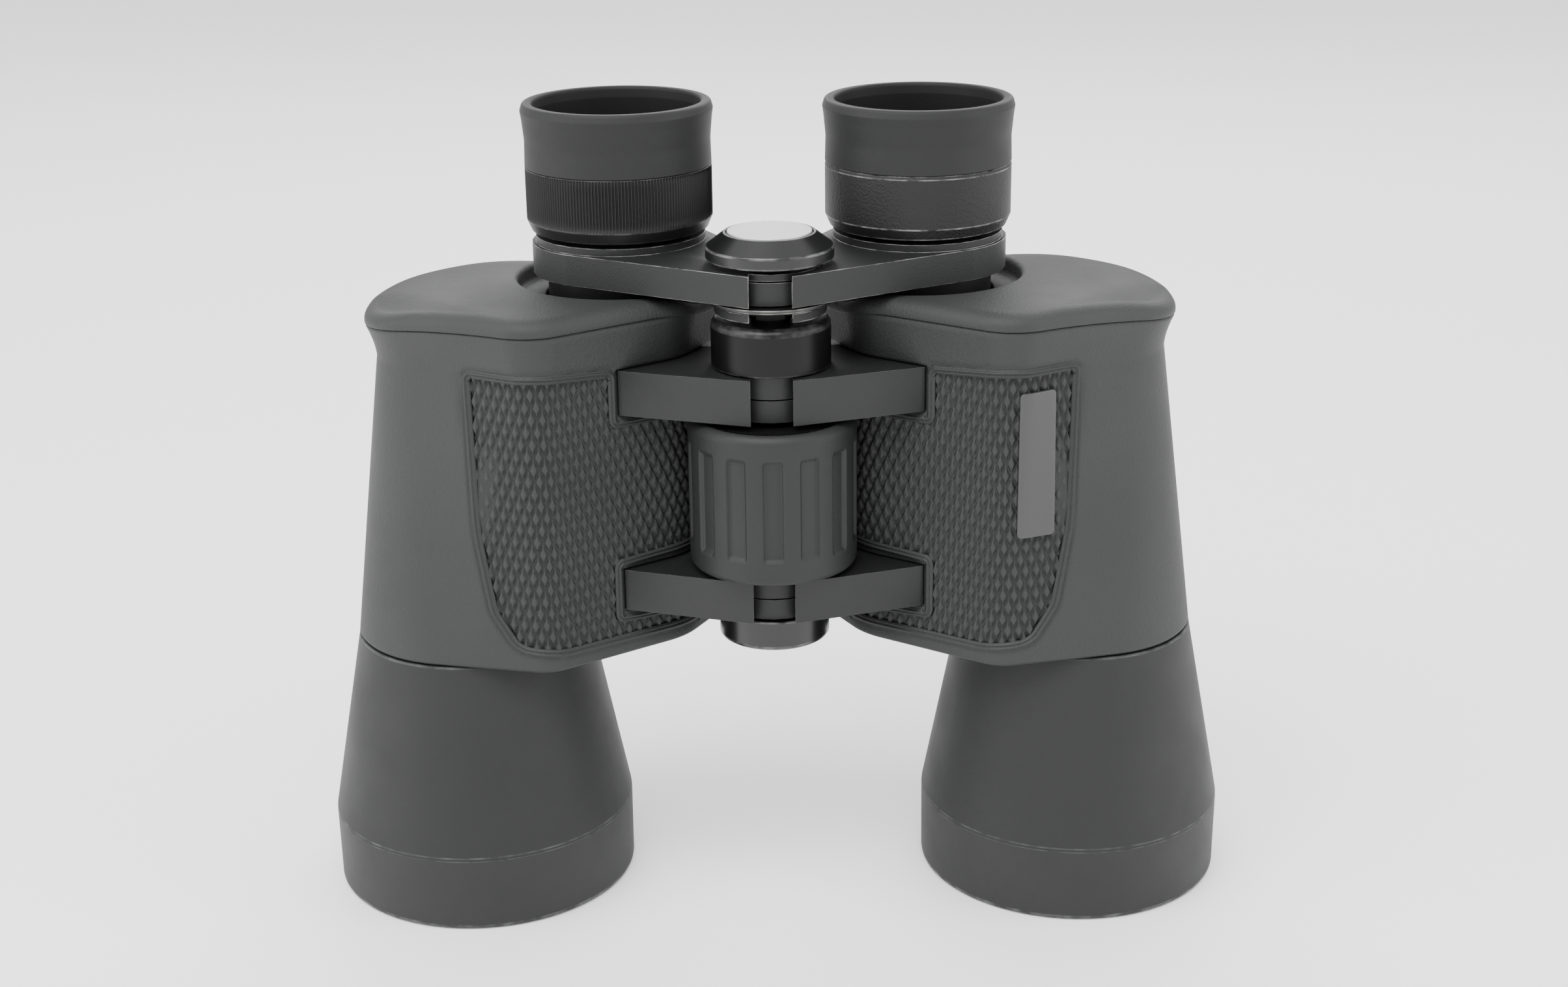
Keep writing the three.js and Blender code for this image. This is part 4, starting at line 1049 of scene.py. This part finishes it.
def node(tree, kind, inputs=(), **settings):
    """New node, each input linked to a socket or set to a value."""
    made = tree.nodes.new(kind)
    for key, value in settings.items():
        setattr(made, key, value)
    for key, value in dict(inputs).items():
        if isinstance(value, bpy.types.NodeSocket):
            tree.links.new(value, made.inputs[key])
        else:
            made.inputs[key].default_value = value
    return made


def math_node(tree, operation, a, b=0.0, clamp=False):
    made = node(tree, "ShaderNodeMath", {0: a, 1: b}, operation=operation, use_clamp=clamp)
    return made.outputs[0]


def mix_colour(tree, factor, a, b, blend="MIX"):
    made = tree.nodes.new("ShaderNodeMix")
    made.data_type, made.blend_type = "RGBA", blend
    named = {"Factor_Float": factor, "A_Color": a, "B_Color": b}
    for entry in made.inputs:
        if entry.identifier in named:
            value = named[entry.identifier]
            if isinstance(value, bpy.types.NodeSocket):
                tree.links.new(value, entry)
            else:
                entry.default_value = value
    return next(out for out in made.outputs if out.identifier == "Result_Color")


def grain_group():
    """Fine grain: a small speckle, a coarser mottle and a broad drift of tone."""
    group = bpy.data.node_groups.new("surface_grain", "ShaderNodeTree")
    socket(group, "Vector", "INPUT", kind="NodeSocketVector")
    socket(group, "Scale", "INPUT", 2500.0)
    for name in ("Tone", "Height", "Drift"):
        socket(group, name, "OUTPUT")
    start, end = group.nodes.new("NodeGroupInput"), group.nodes.new("NodeGroupOutput")
    vector, scale = start.outputs["Vector"], start.outputs["Scale"]
    fine = node(group, "ShaderNodeTexNoise", {"Vector": vector, "Scale": scale, "Detail": 3.0,
                                              "Roughness": 0.6})
    coarse = node(group, "ShaderNodeTexVoronoi", {"Vector": vector, "Scale": scale},
                  feature="SMOOTH_F1")
    slow = math_node(group, "MULTIPLY", scale, 0.02)
    drift = node(group, "ShaderNodeTexNoise", {"Vector": vector, "Scale": slow, "Detail": 4.0})
    tone = math_node(group, "ADD", fine.outputs[0], TONE_LIFT)
    pits = math_node(group, "MULTIPLY", coarse.outputs["Distance"], 0.6)
    height = math_node(group, "ADD", tone, pits)
    group.links.new(tone, end.inputs["Tone"])
    group.links.new(height, end.inputs["Height"])
    group.links.new(drift.outputs[0], end.inputs["Drift"])


def wear_group():
    """Worn edges, on some finishes with a painted highlight: the edge attribute, broken up by
    noise and cut to a soft mask.
    """
    group = bpy.data.node_groups.new("edge_wear_and_highlight", "ShaderNodeTree")
    socket(group, "Vector", "INPUT", kind="NodeSocketVector")
    for name, value in (("Edge", 0.0), ("Scale", 350.0), ("Amount", 0.5)):
        socket(group, name, "INPUT", value)
    socket(group, "Mask", "OUTPUT")
    start, end = group.nodes.new("NodeGroupInput"), group.nodes.new("NodeGroupOutput")
    noise = node(group, "ShaderNodeTexNoise", {"Vector": start.outputs["Vector"],
                                               "Scale": start.outputs["Scale"], "Detail": 6.0})
    lifted = math_node(group, "ADD", noise.outputs[0], -0.35)
    strong = math_node(group, "MULTIPLY", lifted, 3.0, clamp=True)
    masked = math_node(group, "MULTIPLY", strong, start.outputs["Edge"])
    mask = math_node(group, "MULTIPLY", masked, start.outputs["Amount"], clamp=True)
    group.links.new(mask, end.inputs["Mask"])


def finish(name, base, scale, relief, rough, spread, metallic=0.0, worn=None, whole_face_wear_and_highlight=0.0,
           tone_depth=0.25, specular=0.5):
    """One opaque finish: grain on colour, roughness and relief, and wear on its edges, which on
    some finishes carries a painted highlight too.
    """
    material = bpy.data.materials.new("look_" + name)
    material.use_nodes = True
    tree = material.node_tree
    tree.nodes.clear()
    output = tree.nodes.new("ShaderNodeOutputMaterial")
    shader = tree.nodes.new("ShaderNodeBsdfPrincipled")
    tree.links.new(shader.outputs[0], output.inputs[0])
    place = tree.nodes.new("ShaderNodeTexCoord").outputs["Object"]
    grain = node(tree, "ShaderNodeGroup", (), node_tree=bpy.data.node_groups["surface_grain"])
    tree.links.new(place, grain.inputs["Vector"])
    grain.inputs["Scale"].default_value = scale
    dark = tuple(value * (1 - tone_depth) for value in base) + (1,)
    light = tuple(min(1, value * (1 + tone_depth)) for value in base) + (1,)
    both = math_node(tree, "ADD", grain.outputs["Tone"], grain.outputs["Drift"])
    factor = node(tree, "ShaderNodeMapRange", {0: both, 1: 0.7, 2: 1.3, 3: 0.0, 4: 1.0}).outputs[0]
    shade = mix_colour(tree, factor, dark, light)
    roughness = node(tree, "ShaderNodeMapRange",
                     {0: grain.outputs["Drift"], 1: 0.3, 2: 0.7, 3: rough - spread,
                      4: rough + spread})
    rough_out = roughness.outputs[0]
    if worn is not None:
        wear = node(tree, "ShaderNodeGroup", (), node_tree=bpy.data.node_groups["edge_wear_and_highlight"])
        tree.links.new(place, wear.inputs["Vector"])
        if whole_face_wear_and_highlight:
            wear.inputs["Edge"].default_value = whole_face_wear_and_highlight
        else:
            mark = node(tree, "ShaderNodeAttribute", (), attribute_name="edge")
            tree.links.new(mark.outputs["Fac"], wear.inputs["Edge"])
        wear.inputs["Amount"].default_value = bpy.context.scene.binocular_colours.wear
        shade = mix_colour(tree, wear.outputs["Mask"], shade, tuple(worn) + (1,))
        smooth = math_node(tree, "MULTIPLY", wear.outputs["Mask"], -0.15)
        rough_out = math_node(tree, "ADD", rough_out, smooth)
    bump = node(tree, "ShaderNodeBump", {"Height": grain.outputs["Height"], "Strength": 1.0,
                                         "Distance": relief * MM})
    tree.links.new(shade, shader.inputs["Base Color"])
    tree.links.new(rough_out, shader.inputs["Roughness"])
    tree.links.new(bump.outputs[0], shader.inputs["Normal"])
    shader.inputs["Metallic"].default_value = metallic
    shader.inputs["Specular IOR Level"].default_value = specular


def glass_finish(name, tint, film, transmission):
    """Glass with a faint coloured coating that drifts over the surface."""
    material = bpy.data.materials.new("look_" + name)
    material.use_nodes = True
    tree = material.node_tree
    shader = tree.nodes["Principled BSDF"]
    place = tree.nodes.new("ShaderNodeTexCoord").outputs["Object"]
    drift = node(tree, "ShaderNodeTexNoise", {"Vector": place, "Scale": 60.0, "Detail": 2.0})
    shade = mix_colour(tree, drift.outputs[0], tuple(tint) + (1,), tuple(film) + (1,))
    smear = node(tree, "ShaderNodeMapRange",
                 {0: drift.outputs[0], 1: 0.3, 2: 0.7, 3: 0.02, 4: 0.08}).outputs[0]
    tree.links.new(shade, shader.inputs["Base Color"])
    tree.links.new(smear, shader.inputs["Roughness"])
    shader.inputs["IOR"].default_value = 1.52
    shader.inputs["Transmission Weight"].default_value = transmission
    shader.inputs["Coat Weight"].default_value = 0.5


class MixFinishes(bpy.types.Operator):
    """Every finish that the pieces use"""
    bl_idname = "binoculars.finishes"
    bl_label = "Finishes"

    def execute(self, context):
        c = context.scene.binocular_colours
        grain_group()
        wear_group()
        finish("armour_rubber", c.armour, 2000, 0.09, 0.62, 0.05, tone_depth=0.5, specular=0.34)
        finish("barrel_paint", c.barrel, 3600, 0.03, 0.6, 0.05, worn=(0.06, 0.062, 0.062),
               tone_depth=0.25, specular=0.3)
        finish("rim_paint", c.rim, 3600, 0.03, 0.58, 0.05, worn=(0.09, 0.092, 0.092),
               tone_depth=0.25, specular=0.3)
        finish("satin_casting", c.casting, 2600, 0.025, 0.5, 0.05, worn=(0.06, 0.06, 0.06),
               tone_depth=0.3, specular=0.35)
        # Bevel faces of the castings: a light edge colour that is partly wear, partly a painted
        # highlight.
        finish("satin_edge_wear_and_highlight", c.casting, 2600, 0.025, 0.4, 0.05, worn=(0.3, 0.3, 0.29),
               whole_face_wear_and_highlight=1.0, tone_depth=0.3, specular=0.5)
        finish("gloss_black", c.gloss, 900, 0.004, 0.3, 0.05, worn=(0.12, 0.12, 0.12),
               tone_depth=0.1, specular=0.5)
        finish("collar_black", c.collar, 1200, 0.006, 0.36, 0.04, worn=(0.05, 0.05, 0.05),
               tone_depth=0.2, specular=0.2)
        # Eyecup rubber darkened as painted shade for the inside of the cups.
        finish("cup_inner_shade", c.cup_inner_shade, 2500, 0.02, 0.6, 0.06, tone_depth=0.2, specular=0.25)
        finish("cup_rubber", c.cup, 3000, 0.03, 0.6, 0.05, tone_depth=0.2, specular=0.3)
        finish("wheel_rubber", c.wheel, 3000, 0.03, 0.55, 0.05, tone_depth=0.25, specular=0.35)
        finish("inner_black", c.inner, 2500, 0.02, 0.75, 0.08, tone_depth=0.2, specular=0.12)
        finish("ring_plastic", c.ring, 2800, 0.015, 0.5, 0.05, worn=(0.05, 0.05, 0.05),
               tone_depth=0.2, specular=0.35)
        # The band's light edge colour is partly wear, partly a painted highlight along its top
        # edge.
        finish("ring_grain", c.ring, 2200, 0.12, 0.55, 0.05, worn=(0.25, 0.25, 0.25),
               tone_depth=0.6, specular=0.35)
        finish("bright_steel", (0.42, 0.42, 0.41), 900, 0.01, 0.35, 0.08, metallic=1.0,
               worn=(0.8, 0.8, 0.78), tone_depth=0.3)
        finish("dark_steel", (0.035, 0.036, 0.035), 900, 0.02, 0.42, 0.08, metallic=1.0,
               worn=(0.2, 0.2, 0.19), tone_depth=0.4)
        finish("brass", (0.52, 0.38, 0.16), 900, 0.01, 0.32, 0.06, metallic=1.0,
               worn=(0.8, 0.65, 0.35), tone_depth=0.2)
        finish("silver_label", c.label, 1600, 0.006, 0.35, 0.04, metallic=0.6, tone_depth=0.08)
        finish("plate_black", c.plate, 2200, 0.01, 0.4, 0.04, tone_depth=0.15, specular=0.4)
        glass_finish("coated_glass", (0.75, 0.86, 0.95), (0.62, 0.72, 0.98), 1.0)
        glass_finish("prism_glass", (0.85, 0.92, 0.9), (0.9, 0.95, 0.95), 1.0)
        return {"FINISHED"}


# ------------------------------------------------------------------ floor, lights and camera
def aimed(right, up, forward, place):
    """Matrix of a lamp or camera from its three directions and its place."""
    turn = np.eye(4)
    turn[:3, :3] = np.stack([right, up, -forward], 1)
    turn[:3, 3] = place
    return Matrix(turn.tolist())


def area_light(name, place, aim, width, height, power):
    """Rectangular lamp at a place, turned towards an aim."""
    data = bpy.data.lights.new(name, "AREA")
    data.shape, data.size, data.size_y, data.energy = "RECTANGLE", width, height, power
    lamp = bpy.data.objects.new(name, data)
    bpy.context.scene.collection.objects.link(lamp)
    forward = unit(np.array(aim) - np.array(place))
    right = unit(np.cross(forward, [0, 0, 1] if abs(forward[2]) < 0.99 else [0, 1, 0]))
    up = np.cross(right, forward)
    lamp.matrix_world = aimed(right, up, forward, place)


class BuildStage(bpy.types.Operator):
    """Pale floor, soft lights and the camera"""
    bl_idname = "binoculars.stage"
    bl_label = "Floor, Lights and Camera"

    def execute(self, context):
        size = np.linspace(-4, 4, 9)
        y, x = np.meshgrid(size, size, indexing="ij")
        points = np.stack([x, y, 0 * x], -1)
        i, j = np.meshgrid(np.arange(8), np.arange(8), indexing="ij")
        a = (i * 9 + j).ravel()
        faces = np.stack([a, a + 1, a + 10, a + 9], -1)
        mesh = new_mesh("floor", points, [faces])
        floor = bpy.data.objects.new("floor", mesh)
        context.scene.collection.objects.link(floor)
        finish("floor_paint", (0.93, 0.93, 0.93), 60, 0.01, 0.6, 0.03, tone_depth=0.01)
        mesh.materials.append(look("floor_paint"))
        world = bpy.data.worlds.new("studio")
        world.use_nodes = True
        sky = world.node_tree.nodes["Background"]
        sky.inputs["Color"].default_value = (1, 1, 1, 1)
        sky.inputs["Strength"].default_value = SKY_STRENGTH
        context.scene.world = world
        for name, place, width, height, power in LIGHTS:
            area_light(name, place, LIGHTS_AIM, width, height, power)
        data = bpy.data.cameras.new("view")
        data.sensor_width, data.lens = CAMERA_SENSOR, CAMERA_LENS
        data.clip_start, data.clip_end = 0.02, 50
        camera = bpy.data.objects.new("view", data)
        context.scene.collection.objects.link(camera)
        pitch, roll, heading = (math.radians(angle) for angle in
                                (CAMERA_PITCH, CAMERA_ROLL, CAMERA_HEADING))
        forward = np.array([math.sin(heading) * math.cos(pitch),
                            math.cos(heading) * math.cos(pitch), -math.sin(pitch)])
        level = np.array([math.cos(heading), -math.sin(heading), 0])
        top = np.cross(level, forward)
        right = math.cos(roll) * level - math.sin(roll) * top
        up = math.sin(roll) * level + math.cos(roll) * top
        camera.matrix_world = aimed(right, up, forward, CAMERA_PLACE)
        context.scene.camera = camera
        return {"FINISHED"}


BUILDERS = (MixFinishes, BuildArmour, BuildCovers, BuildBarrels, BuildFrontGlass, BuildCastings,
            BuildArms, BuildEyepieces, BuildEyecups, BuildFocusWheel, BuildHinge, BuildGripPlate,
            FinishInsides, BuildStage)
SETTINGS = (("binocular_housing", HousingSizes), ("binocular_grip", GripSizes),
            ("binocular_colours", FinishColours))


class BinocularsPanel(bpy.types.Panel):
    """Lists the sizes, the colours and the pieces in the order they are made"""
    bl_idname = "VIEW3D_PT_binoculars"
    bl_label = "Binoculars"
    bl_space_type = "VIEW_3D"
    bl_region_type = "UI"
    bl_category = "Binoculars"

    def draw(self, context):
        for name, group in SETTINGS:
            box = self.layout.box()
            for entry in group.__annotations__:
                box.prop(getattr(context.scene, name), entry)
        for builder in BUILDERS:
            self.layout.operator(builder.bl_idname)


def register():
    for name, group in SETTINGS:
        bpy.utils.register_class(group)
        setattr(bpy.types.Scene, name, bpy.props.PointerProperty(type=group))
    for entry in (*BUILDERS, BinocularsPanel):
        bpy.utils.register_class(entry)


def unregister():
    for entry in reversed((*BUILDERS, BinocularsPanel)):
        bpy.utils.unregister_class(entry)
    for name, group in reversed(SETTINGS):
        delattr(bpy.types.Scene, name)
        bpy.utils.unregister_class(group)


def main():
    register()
    for builder in BUILDERS:
        family, action = builder.bl_idname.split(".")
        getattr(getattr(bpy.ops, family), action)()


if __name__ == "__main__":
    main()
